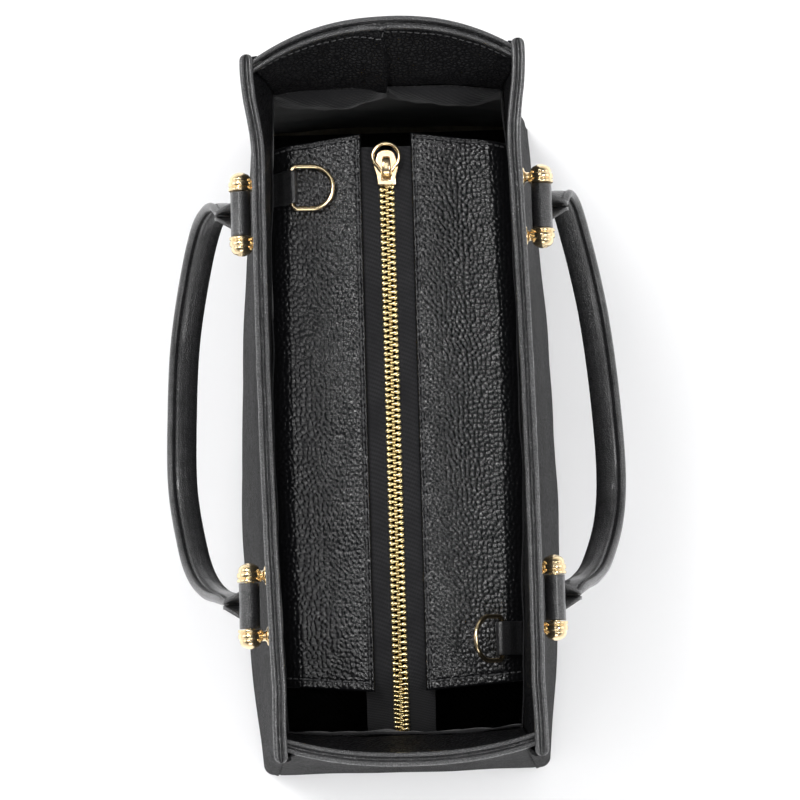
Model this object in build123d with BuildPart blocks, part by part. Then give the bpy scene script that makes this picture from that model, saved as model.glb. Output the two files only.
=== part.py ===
from build123d import *
import math
import os

# A structured leather tote used as a diaper bag, open at the top, with a recessed zip
# closure, two strap handles on end-capped bars and two D-rings for a shoulder strap.
# X runs along the bag, Y through its depth, Z up. The origin is the middle of the base.
# All sizes are in millimetres.

os.makedirs("parts", exist_ok=True)

# ---- bag body -------------------------------------------------------------------------
BAG_HEIGHT = 265.0
BASE_HALF_LENGTH = 185.0
BASE_HALF_DEPTH = 80.0
PINCH_HEIGHT = 222.0  # the ends lean in up to here, then flare out to the rim
PINCH_HALF_LENGTH = 160.0
PINCH_HALF_DEPTH = 62.0
RIM_HALF_LENGTH = 165.0
RIM_HALF_DEPTH = 63.0
BULGE_HEIGHT = 60.0  # the long sides are fullest from the base up to here
LOW_BULGE = 8.5
RIM_BULGE = 2.5
END_BULGE = 3.0
FAR_RIM_BULGE = 17.0  # the far end folds out at the rim more than the near one
NEAR_RIM_BULGE = 7.0

LEATHER = 1.4
BOARD = 2.2
FACING = 1.2
TWILL = 0.8
LAYER_GAP = 0.2
FACING_DEPTH = 49.0
RIM_HEIGHT = 4.4
RIM_OVERHANG = 0.4
RIM_WIDTH = 6.5
BASE_LEATHER = 1.8
BASE_BOARD = 2.5

# ---- zip closure ----------------------------------------------------------------------
ZIP_HEIGHT = 203.0
ZIP_OFFSET = 2.0
PANEL_HALF_LENGTH = 138.5
PANEL_THICKNESS = 2.2
PANEL_EDGE = 12.4
TAPE_THICKNESS = 0.8
TAPE_INNER = 3.0
TAPE_OUTER = 17.5
TAPE_START = 133.0
TAPE_BEND = -134.0  # past here the loose end of the zip hangs down
TAPE_DROP_ANGLE = 50.0
TAPE_BEND_RADIUS = 16.0
TAPE_END = -159.0
TOOTH_PITCH = 2.95
TOOTH_START = 115.5
TOOTH_COUNT = 94
TOOTH_HEIGHT = 3.0
TOOTH_OUTER = 3.85
TOOTH_INNER = 0.75
SLIDER_REAR = 113.0
SLIDER_LENGTH = 18.0
SLIDER_REAR_HALF_WIDTH = 4.75
SLIDER_SHOULDER_HALF_WIDTH = 6.35
SLIDER_NOSE_HALF_WIDTH = 4.9
SLIDER_HALF_HEIGHT = 3.3
CHANNEL_HALF_WIDTH = 4.1
CHANNEL_HALF_HEIGHT = 1.85
BAIL_HALF_WIDTH = 2.3
PULL_HINGE_X = 120.2
PULL_THICKNESS = 1.7

# ---- D-rings --------------------------------------------------------------------------
RING_WIRE = 1.2  # radius
RING_INNER_HALF = 9.5
RING_SIDE = 10.0
RING_CORNER = 3.0
FAR_RING_X = 112.5
FAR_RING_Y = 49.5
FAR_RING_TILT = -4.5
NEAR_RING_X = -114.0
NEAR_RING_Y = -48.5
NEAR_RING_TILT = 50.0
TAB_WIDTH = 16.5
TAB_BORE = 1.55
TAB_RADIUS = 3.0
TAB_STRIP = 9.0

# ---- handles --------------------------------------------------------------------------
BAR_Y = 73.5
BAR_HEIGHT = 233.0
BAR_X = 95.5
BAR_RADIUS = 2.5
HANDLE_DROP_ANGLE = 70.0  # below the horizontal, hanging at rest
LOOP_WIDTH = 22.0
LOOP_BORE = 2.9
LOOP_RADIUS = 5.3
BAND_WIDTH = 16.0
BAND_THICKNESS = 5.4
CORE_WIDTH = 10.8
CORE_THICKNESS = 2.0
CORE_CLEARANCE = 0.1
# Half of the handle's outline, as the corners of the polygon around its curve:
# distance along X from the middle, distance out from the bars.
HANDLE_CORNERS = ((96.0, 12.0), (107.5, 40.0), (101.0, 75.0), (74.0, 105.5), (30.0, 118.5))
CAP_START = 11.4  # from the middle of the loop
CAP_LENGTH = 9.3
CAP_RADIUS = 6.0
STUD_OFFSET = 14.6
STUD_RADIUS = 2.4
STUD_FOOT_RADIUS = 4.6
SCREW_RADIUS = 1.5
SCREW_HEAD_RADIUS = 3.0
SCREW_HEAD_HEIGHT = 0.9
WASHER_RADIUS = 4.2
WASHER_THICKNESS = 0.4
SCREW_POCKET_INSET = 2.1  # the board's pocket for a screw head, measured from the outer skin

# Height, half length, half depth, side bulge, far end bulge and near end bulge
# of the outer skin. Everything between two rows is in proportion.
BULGE_SHARE = BULGE_HEIGHT / PINCH_HEIGHT
PINCH_SHARE = (PINCH_HEIGHT - BULGE_HEIGHT) / (BAG_HEIGHT - BULGE_HEIGHT)
PINCH_BULGE = LOW_BULGE + PINCH_SHARE * (RIM_BULGE - LOW_BULGE)
STATIONS = (
    (0.0, BASE_HALF_LENGTH, BASE_HALF_DEPTH, LOW_BULGE, END_BULGE, END_BULGE),
    (
        BULGE_HEIGHT,
        BASE_HALF_LENGTH + BULGE_SHARE * (PINCH_HALF_LENGTH - BASE_HALF_LENGTH),
        BASE_HALF_DEPTH + BULGE_SHARE * (PINCH_HALF_DEPTH - BASE_HALF_DEPTH),
        LOW_BULGE,
        END_BULGE,
        END_BULGE,
    ),
    (PINCH_HEIGHT, PINCH_HALF_LENGTH, PINCH_HALF_DEPTH, PINCH_BULGE, END_BULGE, END_BULGE),
    (BAG_HEIGHT, RIM_HALF_LENGTH, RIM_HALF_DEPTH, RIM_BULGE, FAR_RIM_BULGE, NEAR_RIM_BULGE),
)
WALL_TOP = BAG_HEIGHT - RIM_HEIGHT - LAYER_GAP
FACING_BOTTOM = BAG_HEIGHT - FACING_DEPTH
BOARD_INSET = LEATHER + LAYER_GAP
INNER_INSET = BOARD_INSET + BOARD + LAYER_GAP
BASE_TOP = BASE_LEATHER + LAYER_GAP + BASE_BOARD + LAYER_GAP
SIDES = {"front": -1, "back": 1}
ENDS = {"far": 1, "near": -1}


def station(height):
    """The outer skin's five plan sizes at a height."""
    for low, high in zip(STATIONS, STATIONS[1:]):
        if height <= high[0]:
            share = (height - low[0]) / (high[0] - low[0])
            return [a + share * (b - a) for a, b in zip(low[1:], high[1:])]
    return list(STATIONS[-1][1:])


def levels(bottom, top):
    """The heights at which a wall between bottom and top gets a section."""
    return [bottom, *[row[0] for row in STATIONS if bottom < row[0] < top], top]


def skin_y(x, height, inset=0.0):
    """Distance from the middle plane to the arched long side, at x and a height."""
    half_length, half_depth, bulge = station(height)[:3]
    radius = (half_length**2 + bulge**2) / (2 * bulge)
    return half_depth + bulge - radius + math.sqrt(radius**2 - x**2) - inset


def screw_plane(x, side, inset):
    """The plane across a handle mount's screw, facing outwards, that far inside the skin."""
    place = (x, side * skin_y(abs(x), BAR_HEIGHT, inset), BAR_HEIGHT)
    return Plane(place, x_dir=(1, 0, 0), z_dir=(0, side, 0))


def finish(builder, name):
    """Label a finished piece and write it."""
    builder.part.label = name
    export_step(builder.part, f"parts/{name}.step")


def side_wall(side, inset, thickness, bottom, top, end_gap, screw_holes=False, screw_pockets=False):
    """One long wall: an arched strip at each level, joined upwards."""
    with BuildPart() as wall:
        for height in levels(bottom, top):
            half_length, half_depth, bulge = station(height)[:3]
            end = half_length - end_gap
            outer = half_depth - inset
            inner = outer - thickness
            with BuildSketch(Plane.XY.offset(height)):
                with BuildLine():
                    ThreePointArc((-end, side * outer), (0, side * (outer + bulge)), (end, side * outer))
                    Line((end, side * outer), (end, side * inner))
                    ThreePointArc((end, side * inner), (0, side * (inner + bulge)), (-end, side * inner))
                    Line((-end, side * inner), (-end, side * outer))
                make_face()
        loft(ruled=True)
        if screw_holes:
            with BuildSketch(Plane.XZ):
                with Locations(*[(x, BAR_HEIGHT) for x in STUD_PLACES]):
                    Circle(SCREW_RADIUS + 0.3)
            extrude(amount=2 * BASE_HALF_DEPTH, both=True, mode=Mode.SUBTRACT)
        if screw_pockets:
            for x in STUD_PLACES:
                with BuildSketch(screw_plane(x, side, SCREW_POCKET_INSET)):
                    Circle(WASHER_RADIUS + 0.3)
                extrude(amount=-2 * BOARD, mode=Mode.SUBTRACT)
    return wall


def end_wall(end, inset, thickness, bottom, top, side_gap):
    """One end wall: an arched strip at each level, joined upwards."""
    with BuildPart() as wall:
        for height in levels(bottom, top):
            half_length, half_depth, _, far_bulge, near_bulge = station(height)
            bulge = far_bulge if end > 0 else near_bulge
            side = half_depth - side_gap
            outer = half_length - inset
            inner = outer - thickness
            with BuildSketch(Plane.XY.offset(height)):
                with BuildLine():
                    ThreePointArc((end * outer, -side), (end * (outer + bulge), 0), (end * outer, side))
                    Line((end * outer, side), (end * inner, side))
                    ThreePointArc((end * inner, side), (end * (inner + bulge), 0), (end * inner, -side))
                    Line((end * inner, -side), (end * outer, -side))
                make_face()
        loft(ruled=True)
    return wall


def floor_plate(inset, bottom, thickness):
    """One flat layer of the base, with the outline that the walls have there."""
    half_length, half_depth, bulge, far_bulge, near_bulge = station(bottom)
    x = half_length - inset
    y = half_depth - inset
    with BuildPart() as plate:
        with BuildSketch(Plane.XY.offset(bottom)):
            with BuildLine():
                ThreePointArc((-x, -y), (0, -y - bulge), (x, -y))
                ThreePointArc((x, -y), (x + far_bulge, 0), (x, y))
                ThreePointArc((x, y), (0, y + bulge), (-x, y))
                ThreePointArc((-x, y), (-x - near_bulge, 0), (-x, -y))
            make_face()
        extrude(amount=thickness)
    return plate


STUD_PLACES = [
    end * BAR_X + offset for end in ENDS.values() for offset in (-STUD_OFFSET, STUD_OFFSET)
]

# ---- the sewn body, from the outside in -------------------------------------------------
base_panel = floor_plate(0.0, 0.0, BASE_LEATHER)
finish(base_panel, "base_panel")

base_board = floor_plate(INNER_INSET, BASE_LEATHER + LAYER_GAP, BASE_BOARD)
finish(base_board, "base_board")

lining_base = floor_plate(INNER_INSET, BASE_TOP, TWILL)
finish(lining_base, "lining_base")

for name, side in SIDES.items():
    panel = side_wall(side, 0.0, LEATHER, BASE_LEATHER + 0.1, WALL_TOP, 0.0, screw_holes=True)
    finish(panel, f"{name}_panel")

    stiffener = side_wall(
        side,
        BOARD_INSET,
        BOARD,
        BASE_LEATHER + LAYER_GAP,
        WALL_TOP,
        2 * BOARD_INSET,
        screw_holes=True,
        screw_pockets=True,
    )
    finish(stiffener, f"{name}_stiffener")

    facing = side_wall(side, INNER_INSET, FACING, FACING_BOTTOM, WALL_TOP, BOARD_INSET)
    finish(facing, f"facing_{name}")

    lining = side_wall(
        side,
        INNER_INSET,
        TWILL,
        BASE_TOP + TWILL + LAYER_GAP,
        FACING_BOTTOM - LAYER_GAP,
        BOARD_INSET,
    )
    finish(lining, f"lining_{name}")

    rim = side_wall(side, -RIM_OVERHANG, RIM_WIDTH, BAG_HEIGHT - RIM_HEIGHT, BAG_HEIGHT, 0.0)
    finish(rim, f"rim_{name}")

for name, end in ENDS.items():
    gusset = end_wall(end, 0.0, LEATHER, BASE_LEATHER + 0.1, WALL_TOP, LEATHER + LAYER_GAP)
    finish(gusset, f"gusset_{name}")

    facing = end_wall(
        end, BOARD_INSET, FACING, FACING_BOTTOM, WALL_TOP, INNER_INSET + FACING + LAYER_GAP
    )
    finish(facing, f"facing_{name}")

    lining = end_wall(
        end,
        BOARD_INSET,
        TWILL,
        BASE_TOP + TWILL + LAYER_GAP,
        FACING_BOTTOM - LAYER_GAP,
        INNER_INSET + TWILL + LAYER_GAP,
    )
    finish(lining, f"lining_{name}")

    rim = end_wall(end, -RIM_OVERHANG, RIM_WIDTH, BAG_HEIGHT - RIM_HEIGHT, BAG_HEIGHT, RIM_WIDTH)
    finish(rim, f"rim_{name}")

# ---- zip closure ------------------------------------------------------------------------
PANEL_BOTTOM = ZIP_HEIGHT + TAPE_THICKNESS / 2 + LAYER_GAP
PANEL_TOP = PANEL_BOTTOM + PANEL_THICKNESS

for name, side in SIDES.items():
    wall_gap = INNER_INSET + TWILL + LAYER_GAP
    edge = ZIP_OFFSET + side * PANEL_EDGE
    corner = side * skin_y(PANEL_HALF_LENGTH, PANEL_TOP, wall_gap)
    middle = side * skin_y(0, PANEL_TOP, wall_gap)
    with BuildPart() as zip_panel:
        with BuildSketch(Plane.XY.offset(PANEL_BOTTOM)):
            with BuildLine():
                Line((-PANEL_HALF_LENGTH, edge), (PANEL_HALF_LENGTH, edge))
                Line((PANEL_HALF_LENGTH, edge), (PANEL_HALF_LENGTH, corner))
                ThreePointArc((PANEL_HALF_LENGTH, corner), (0, middle), (-PANEL_HALF_LENGTH, corner))
                Line((-PANEL_HALF_LENGTH, corner), (-PANEL_HALF_LENGTH, edge))
            make_face()
        extrude(amount=PANEL_THICKNESS)
    finish(zip_panel, f"zip_panel_{name}")

# The tape runs level, bends down past the panels and ends against the near lining.
drop = math.radians(TAPE_DROP_ANGLE)
TAPE_END_DEPTH = (TAPE_BEND - TAPE_END) * math.tan(drop)
BEND_TANGENT = TAPE_BEND_RADIUS * math.tan(drop / 2)


def tape_edge(offset):
    """The corners of the tape's upper or lower face, seen from the side."""
    along = offset * math.tan(drop / 2)
    return (
        (TAPE_START, ZIP_HEIGHT + offset),
        (TAPE_BEND - along, ZIP_HEIGHT + offset),
        (TAPE_END - offset * math.sin(drop), ZIP_HEIGHT - TAPE_END_DEPTH + offset * math.cos(drop)),
    )


def chain_place(distance):
    """Where a point of the chain lies, that far along it from the first tooth: x, z, slope."""
    level = TOOTH_START - (TAPE_BEND + BEND_TANGENT)
    if distance <= level:
        return TOOTH_START - distance, ZIP_HEIGHT, 0.0
    turned = min((distance - level) / TAPE_BEND_RADIUS, drop)
    x = TAPE_BEND + BEND_TANGENT - TAPE_BEND_RADIUS * math.sin(turned)
    z = ZIP_HEIGHT - TAPE_BEND_RADIUS * (1 - math.cos(turned))
    rest = distance - level - TAPE_BEND_RADIUS * turned
    return x - rest * math.cos(turned), z - rest * math.sin(turned), math.degrees(turned)


def tooth_locations(first):
    """The places of one side's teeth; first is the distance of its first tooth."""
    places = []
    for number in range(TOOTH_COUNT):
        x, z, slope = chain_place(first + number * TOOTH_PITCH)
        places.append(Location((x, ZIP_OFFSET, z), (0, -slope, 0)))
    return places


half_tape = TAPE_THICKNESS / 2
for name, side in SIDES.items():
    tape_y = ZIP_OFFSET + side * TAPE_INNER
    with BuildPart() as tape:
        with BuildSketch(Plane.XZ.offset(-tape_y)):
            with BuildLine():
                upper = FilletPolyline(*tape_edge(half_tape), radius=TAPE_BEND_RADIUS + half_tape)
                lower = FilletPolyline(*tape_edge(-half_tape), radius=TAPE_BEND_RADIUS - half_tape)
                Line(upper @ 0, lower @ 0)
                Line(upper @ 1, lower @ 1)
            make_face()
        extrude(amount=-side * (TAPE_OUTER - TAPE_INNER))
    finish(tape, f"zip_tape_{name}")

    # A tooth is a bulb that grips the tape's edge and a narrow head that points inwards.
    with BuildPart() as tooth:
        with BuildSketch():
            with Locations((0, side * (TOOTH_OUTER - 1.15))):
                RectangleRounded(1.9, 2.3, 0.6)
            with Locations((0, side * (TOOTH_INNER + 0.85))):
                Rectangle(1.1, 1.7)
        extrude(amount=TOOTH_HEIGHT / 2, both=True)
        with Locations((0, side * (TOOTH_OUTER - 0.4), 0)):
            Box(3.0, 1.1, TAPE_THICKNESS + 0.1, mode=Mode.SUBTRACT)
    half_step = TOOTH_PITCH / 2 if side > 0 else 0.0
    with BuildPart() as teeth:
        with Locations(*tooth_locations(half_step)):
            add(tooth.part)
    finish(teeth, f"zip_teeth_{name}")

# Two top stops on the tapes' edges and one bottom stop across both.
with BuildPart() as zip_stops:
    for side in SIDES.values():
        with Locations((TAPE_START - 4.4, ZIP_OFFSET + side * (TAPE_INNER + 0.1), ZIP_HEIGHT)):
            Box(2.6, 1.6, 2.6)
            Box(2.8, 1.8, TAPE_THICKNESS + 0.1, mode=Mode.SUBTRACT)
            with Locations((0, -side * 0.6, 0)):
                Box(2.6, 0.3, 2.6)
    end_x, end_z, end_slope = chain_place(TOOTH_COUNT * TOOTH_PITCH + 1.0)
    with BuildSketch(Plane((end_x, ZIP_OFFSET, end_z), z_dir=(-math.sin(drop), 0, math.cos(drop)))):
        Rectangle(2.4, 2 * TAPE_INNER - 0.3)
    extrude(amount=1.5, both=True)
finish(zip_stops, "zip_stops")

# The slider: two tapering plates over and under the chain, side flanges, a thin divider
# at the nose and the arched bail that carries the pull.
slider_nose = SLIDER_REAR + SLIDER_LENGTH
with BuildPart() as zip_slider:
    with BuildSketch(Plane.XY.offset(ZIP_HEIGHT - SLIDER_HALF_HEIGHT)):
        with BuildLine():
            Polyline(
                (SLIDER_REAR, ZIP_OFFSET + SLIDER_REAR_HALF_WIDTH),
                (SLIDER_REAR, ZIP_OFFSET - SLIDER_REAR_HALF_WIDTH),
                (SLIDER_REAR + 4.5, ZIP_OFFSET - SLIDER_REAR_HALF_WIDTH),
                (slider_nose - 8.5, ZIP_OFFSET - SLIDER_SHOULDER_HALF_WIDTH),
                (slider_nose - 6.5, ZIP_OFFSET - SLIDER_SHOULDER_HALF_WIDTH),
                (slider_nose - 3.0, ZIP_OFFSET - SLIDER_NOSE_HALF_WIDTH),
            )
            ThreePointArc(
                (slider_nose - 3.0, ZIP_OFFSET - SLIDER_NOSE_HALF_WIDTH),
                (slider_nose, ZIP_OFFSET),
                (slider_nose - 3.0, ZIP_OFFSET + SLIDER_NOSE_HALF_WIDTH),
            )
            Polyline(
                (slider_nose - 3.0, ZIP_OFFSET + SLIDER_NOSE_HALF_WIDTH),
                (slider_nose - 6.5, ZIP_OFFSET + SLIDER_SHOULDER_HALF_WIDTH),
                (slider_nose - 8.5, ZIP_OFFSET + SLIDER_SHOULDER_HALF_WIDTH),
                (SLIDER_REAR + 4.5, ZIP_OFFSET + SLIDER_REAR_HALF_WIDTH),
                (SLIDER_REAR, ZIP_OFFSET + SLIDER_REAR_HALF_WIDTH),
            )
        make_face()
    extrude(amount=2 * SLIDER_HALF_HEIGHT)
    fillet(zip_slider.faces().sort_by(Axis.Z)[-1].edges(), 0.6)
    with Locations((SLIDER_REAR + SLIDER_LENGTH / 2, ZIP_OFFSET, ZIP_HEIGHT)):
        Box(2 * SLIDER_LENGTH, 2 * CHANNEL_HALF_WIDTH, 2 * CHANNEL_HALF_HEIGHT, mode=Mode.SUBTRACT)
        Box(2 * SLIDER_LENGTH, 4 * CHANNEL_HALF_WIDTH, 1.6, mode=Mode.SUBTRACT)
    with Locations((slider_nose - 4.2, ZIP_OFFSET, ZIP_HEIGHT)):
        Box(5.4, 0.8, 2 * CHANNEL_HALF_HEIGHT + 0.2)
    bail_base = ZIP_HEIGHT + SLIDER_HALF_HEIGHT - 0.2
    with BuildSketch(Plane.XZ.offset(-ZIP_OFFSET)):
        with BuildLine():
            Polyline((115.4, bail_base), (115.4, bail_base + 1.4))
            ThreePointArc((115.4, bail_base + 1.4), (120.2, bail_base + 3.9), (125.2, bail_base + 1.2))
            Polyline((125.2, bail_base + 1.2), (125.2, bail_base), (123.6, bail_base))
            ThreePointArc((123.6, bail_base), (120.2, bail_base + 2.6), (116.8, bail_base))
            Line((116.8, bail_base), (115.4, bail_base))
        make_face()
    extrude(amount=BAIL_HALF_WIDTH, both=True)
finish(zip_slider, "zip_slider")

# The pull: a cross rod under the bail, two arms and a round finger ring.
pull_z = ZIP_HEIGHT + SLIDER_HALF_HEIGHT + 1.15
PULL_RING_X = 127.3
PULL_RING_RADIUS = 7.5
with BuildPart() as zip_pull:
    with BuildSketch(Plane.XY.offset(pull_z)):
        with BuildLine():
            CenterArc((PULL_RING_X, ZIP_OFFSET), PULL_RING_RADIUS, -140, 280)
            Polyline(
                (
                    PULL_RING_X + PULL_RING_RADIUS * math.cos(math.radians(140)),
                    ZIP_OFFSET + PULL_RING_RADIUS * math.sin(math.radians(140)),
                ),
                (PULL_HINGE_X - 0.85, ZIP_OFFSET + 4.0),
                (PULL_HINGE_X - 0.85, ZIP_OFFSET - 4.0),
                (
                    PULL_RING_X + PULL_RING_RADIUS * math.cos(math.radians(140)),
                    ZIP_OFFSET - PULL_RING_RADIUS * math.sin(math.radians(140)),
                ),
            )
        make_face()
        with Locations((PULL_RING_X, ZIP_OFFSET)):
            Circle(PULL_RING_RADIUS - 1.9, mode=Mode.SUBTRACT)
        with Locations((PULL_HINGE_X + 2.5, ZIP_OFFSET)):
            Rectangle(7.0, 2 * BAIL_HALF_WIDTH + 0.7, mode=Mode.SUBTRACT)
    extrude(amount=PULL_THICKNESS / 2, both=True)
    with Locations(Location((PULL_HINGE_X, ZIP_OFFSET, pull_z), (90, 0, 0))):
        Cylinder(PULL_THICKNESS / 2, 6.0)
finish(zip_pull, "zip_pull")

# ---- D-rings and their leather tabs -------------------------------------------------------
RING_HEIGHT = PANEL_TOP + 0.1 + TAB_RADIUS
RINGS = {
    "far": (FAR_RING_X, FAR_RING_Y, FAR_RING_TILT),
    "near": (NEAR_RING_X, NEAR_RING_Y, NEAR_RING_TILT),
}
for name, (ring_x, ring_y, tilt) in RINGS.items():
    inward = -math.copysign(1, ring_y)
    angle = math.radians(tilt)
    reach = (0, inward * math.cos(angle), math.sin(angle))
    normal = (0, -math.sin(angle), inward * math.cos(angle))
    ring_plane = Plane((ring_x, ring_y, RING_HEIGHT), x_dir=(1, 0, 0), z_dir=normal)
    half = RING_INNER_HALF + RING_WIRE
    with BuildPart() as d_ring:
        with BuildLine(ring_plane):
            bar = Line((0, 0), (half - RING_CORNER, 0))
            CenterArc((half - RING_CORNER, RING_CORNER), RING_CORNER, -90, 90)
            Line((half, RING_CORNER), (half, RING_SIDE))
            CenterArc((0, RING_SIDE), half, 0, 180)
            Line((-half, RING_SIDE), (-half, RING_CORNER))
            CenterArc((RING_CORNER - half, RING_CORNER), RING_CORNER, 180, 90)
            Line((RING_CORNER - half, 0), (0, 0))
        with BuildSketch(Plane(bar @ 0, x_dir=reach, z_dir=(1, 0, 0))):
            Circle(RING_WIRE)
        sweep()
    finish(d_ring, f"d_ring_{name}")

    tab_place = (ring_x - TAB_WIDTH / 2, ring_y, RING_HEIGHT)
    with BuildPart() as tab:
        with BuildSketch(Plane(tab_place, x_dir=(0, 1, 0), z_dir=(1, 0, 0))):
            Circle(TAB_RADIUS)
            with Locations((-inward * TAB_STRIP / 2, -1.6)):
                Rectangle(TAB_STRIP, 2.8)
            Circle(TAB_BORE, mode=Mode.SUBTRACT)
        extrude(amount=TAB_WIDTH)
    finish(tab, f"d_ring_tab_{name}")

# ---- handles -----------------------------------------------------------------------------
handle_angle = math.radians(HANDLE_DROP_ANGLE)
HANDLE_NORMAL = (0, math.sin(handle_angle), math.cos(handle_angle))
HANDLE_OUT = (0, math.cos(handle_angle), -math.sin(handle_angle))
handle_plane = Plane((0, BAR_Y, BAR_HEIGHT), x_dir=(1, 0, 0), z_dir=HANDLE_NORMAL)


def largest_fillets(corners):
    """For each inner corner, a radius that leaves a little of both its runs straight."""
    radii = []
    for before, corner, after in zip(corners, corners[1:], corners[2:]):
        first = Vector(*corner) - Vector(*before)
        second = Vector(*after) - Vector(*corner)
        half_turn = math.radians(first.get_angle(second)) / 2
        radii.append(0.45 * min(first.length, second.length) / math.tan(half_turn))
    return radii


handle_outline = [*[(-x, v) for x, v in HANDLE_CORNERS], *reversed(HANDLE_CORNERS)]


def swept_band(width, thickness, corner_radius):
    """A flat rounded section swept along the handle's curve."""
    with BuildPart() as band:
        with BuildLine(handle_plane):
            curve = FilletPolyline(*handle_outline, radius=largest_fillets(handle_outline))
        with BuildSketch(Plane(curve @ 0, x_dir=HANDLE_NORMAL, z_dir=curve % 0)):
            RectangleRounded(width, thickness, corner_radius)
        sweep()
    return band.part


def bar_plane(x):
    """The plane across a handle bar at x, facing along the bar."""
    return Plane((x, BAR_Y, BAR_HEIGHT), x_dir=HANDLE_OUT, z_dir=(1, 0, 0))


leather_band = swept_band(BAND_WIDTH, BAND_THICKNESS, 2.4)
core_cavity = swept_band(CORE_WIDTH + 2 * CORE_CLEARANCE, CORE_THICKNESS + 2 * CORE_CLEARANCE, 0.8)
rope_core = swept_band(CORE_WIDTH, CORE_THICKNESS, 0.8)

with BuildPart() as handle_strap:
    add(leather_band)
    for end in ENDS.values():
        for distance, x, along, across, rounding in (
            (1.0, BAR_X, LOOP_WIDTH, 9.0, 2.0),
            (19.0, BAR_X + 2.6, 6.6, BAND_WIDTH, 2.4),
        ):
            place = handle_plane.from_local_coords((end * x, distance, 0))
            with BuildSketch(Plane(place, x_dir=(1, 0, 0), z_dir=HANDLE_OUT)):
                RectangleRounded(along, across, rounding)
        loft()
        with BuildSketch(bar_plane(end * BAR_X - LOOP_WIDTH / 2)):
            Circle(LOOP_RADIUS)
        extrude(amount=LOOP_WIDTH)
        with BuildSketch(bar_plane(end * BAR_X - LOOP_WIDTH)):
            Circle(LOOP_BORE)
        extrude(amount=2 * LOOP_WIDTH, mode=Mode.SUBTRACT)
    add(core_cavity, mode=Mode.SUBTRACT)

for name, side in SIDES.items():
    for shape, piece in ((handle_strap.part, "strap"), (rope_core, "core")):
        with BuildPart() as handle_piece:
            add(shape if side > 0 else shape.mirror(Plane.XZ))
        finish(handle_piece, f"handle_{name}_{piece}")

# ---- handle bars, end caps with their studs, screws and washers ------------------------------


def cap_outline(direction):
    """Half section of an end cap: flange, groove, ring and a dome down to a knob."""
    flange_end = CAP_START + 2.6
    ring_start = flange_end + 0.9
    ring_end = ring_start + 2.0
    tip = CAP_START + CAP_LENGTH
    outline = (
        (CAP_START, 0),
        (CAP_START, CAP_RADIUS),
        (flange_end, CAP_RADIUS),
        (flange_end, CAP_RADIUS - 1.1),
        (ring_start, CAP_RADIUS - 1.1),
        (ring_start, CAP_RADIUS - 0.3),
        (ring_end, CAP_RADIUS - 0.3),
        (ring_end + 0.6, CAP_RADIUS - 1.6),
        (tip - 1.2, 3.3),
        (tip - 0.3, 3.0),
        (tip, 2.0),
        (tip, 0),
        (CAP_START, 0),
    )
    return [(direction * x, y) for x, y in outline]


for side_name, side in SIDES.items():
    for end_name, end in ENDS.items():
        bar_x = end * BAR_X
        with BuildPart() as bar:
            with BuildSketch(Plane((bar_x, side * BAR_Y, BAR_HEIGHT), x_dir=(0, 1, 0), z_dir=(1, 0, 0))):
                Circle(BAR_RADIUS)
            extrude(amount=CAP_START + 3.0, both=True)
        finish(bar, f"handle_bar_{side_name}_{end_name}")

        with BuildPart() as mounts:
            for direction in (-1, 1):
                stud_x = bar_x + direction * STUD_OFFSET
                stud_foot = screw_plane(stud_x, side, -0.15)
                with BuildSketch(Plane((bar_x, side * BAR_Y, BAR_HEIGHT), x_dir=(1, 0, 0), z_dir=(0, 0, 1))):
                    with BuildLine():
                        Polyline(*cap_outline(direction))
                    make_face()
                revolve(axis=Axis((0, side * BAR_Y, BAR_HEIGHT), (1, 0, 0)))
                with BuildSketch(stud_foot):
                    Circle(STUD_RADIUS)
                extrude(amount=BAR_Y - abs(stud_foot.origin.Y))
                with BuildSketch(stud_foot):
                    Circle(STUD_FOOT_RADIUS)
                extrude(amount=1.0)
                with BuildSketch(stud_foot):
                    Circle(SCREW_RADIUS + 0.05)
                extrude(amount=5.0, mode=Mode.SUBTRACT)
            with BuildSketch(Plane((bar_x, side * BAR_Y, BAR_HEIGHT), x_dir=(0, 1, 0), z_dir=(1, 0, 0))):
                Circle(BAR_RADIUS + 0.03)
            extrude(amount=CAP_START + 3.1, both=True, mode=Mode.SUBTRACT)
        finish(mounts, f"handle_mount_{side_name}_{end_name}")

WASHER_INSET = SCREW_POCKET_INSET + 0.1
HEAD_INSET = WASHER_INSET + WASHER_THICKNESS + 0.05

with BuildPart() as screws:
    for side in SIDES.values():
        for stud_x in STUD_PLACES:
            with BuildSketch(screw_plane(stud_x, side, HEAD_INSET)):
                Circle(SCREW_RADIUS)
            extrude(amount=HEAD_INSET + 4.5)
            with BuildSketch(screw_plane(stud_x, side, HEAD_INSET)):
                Circle(SCREW_HEAD_RADIUS)
            extrude(amount=-SCREW_HEAD_HEIGHT)
finish(screws, "mount_screws")

with BuildPart() as washers:
    for side in SIDES.values():
        for stud_x in STUD_PLACES:
            with BuildSketch(screw_plane(stud_x, side, WASHER_INSET)):
                Circle(WASHER_RADIUS)
                Circle(SCREW_RADIUS + 0.2, mode=Mode.SUBTRACT)
            extrude(amount=-WASHER_THICKNESS)
finish(washers, "mount_washers")
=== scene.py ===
import math

import bpy
import numpy as np
from mathutils import Matrix, Vector


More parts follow.
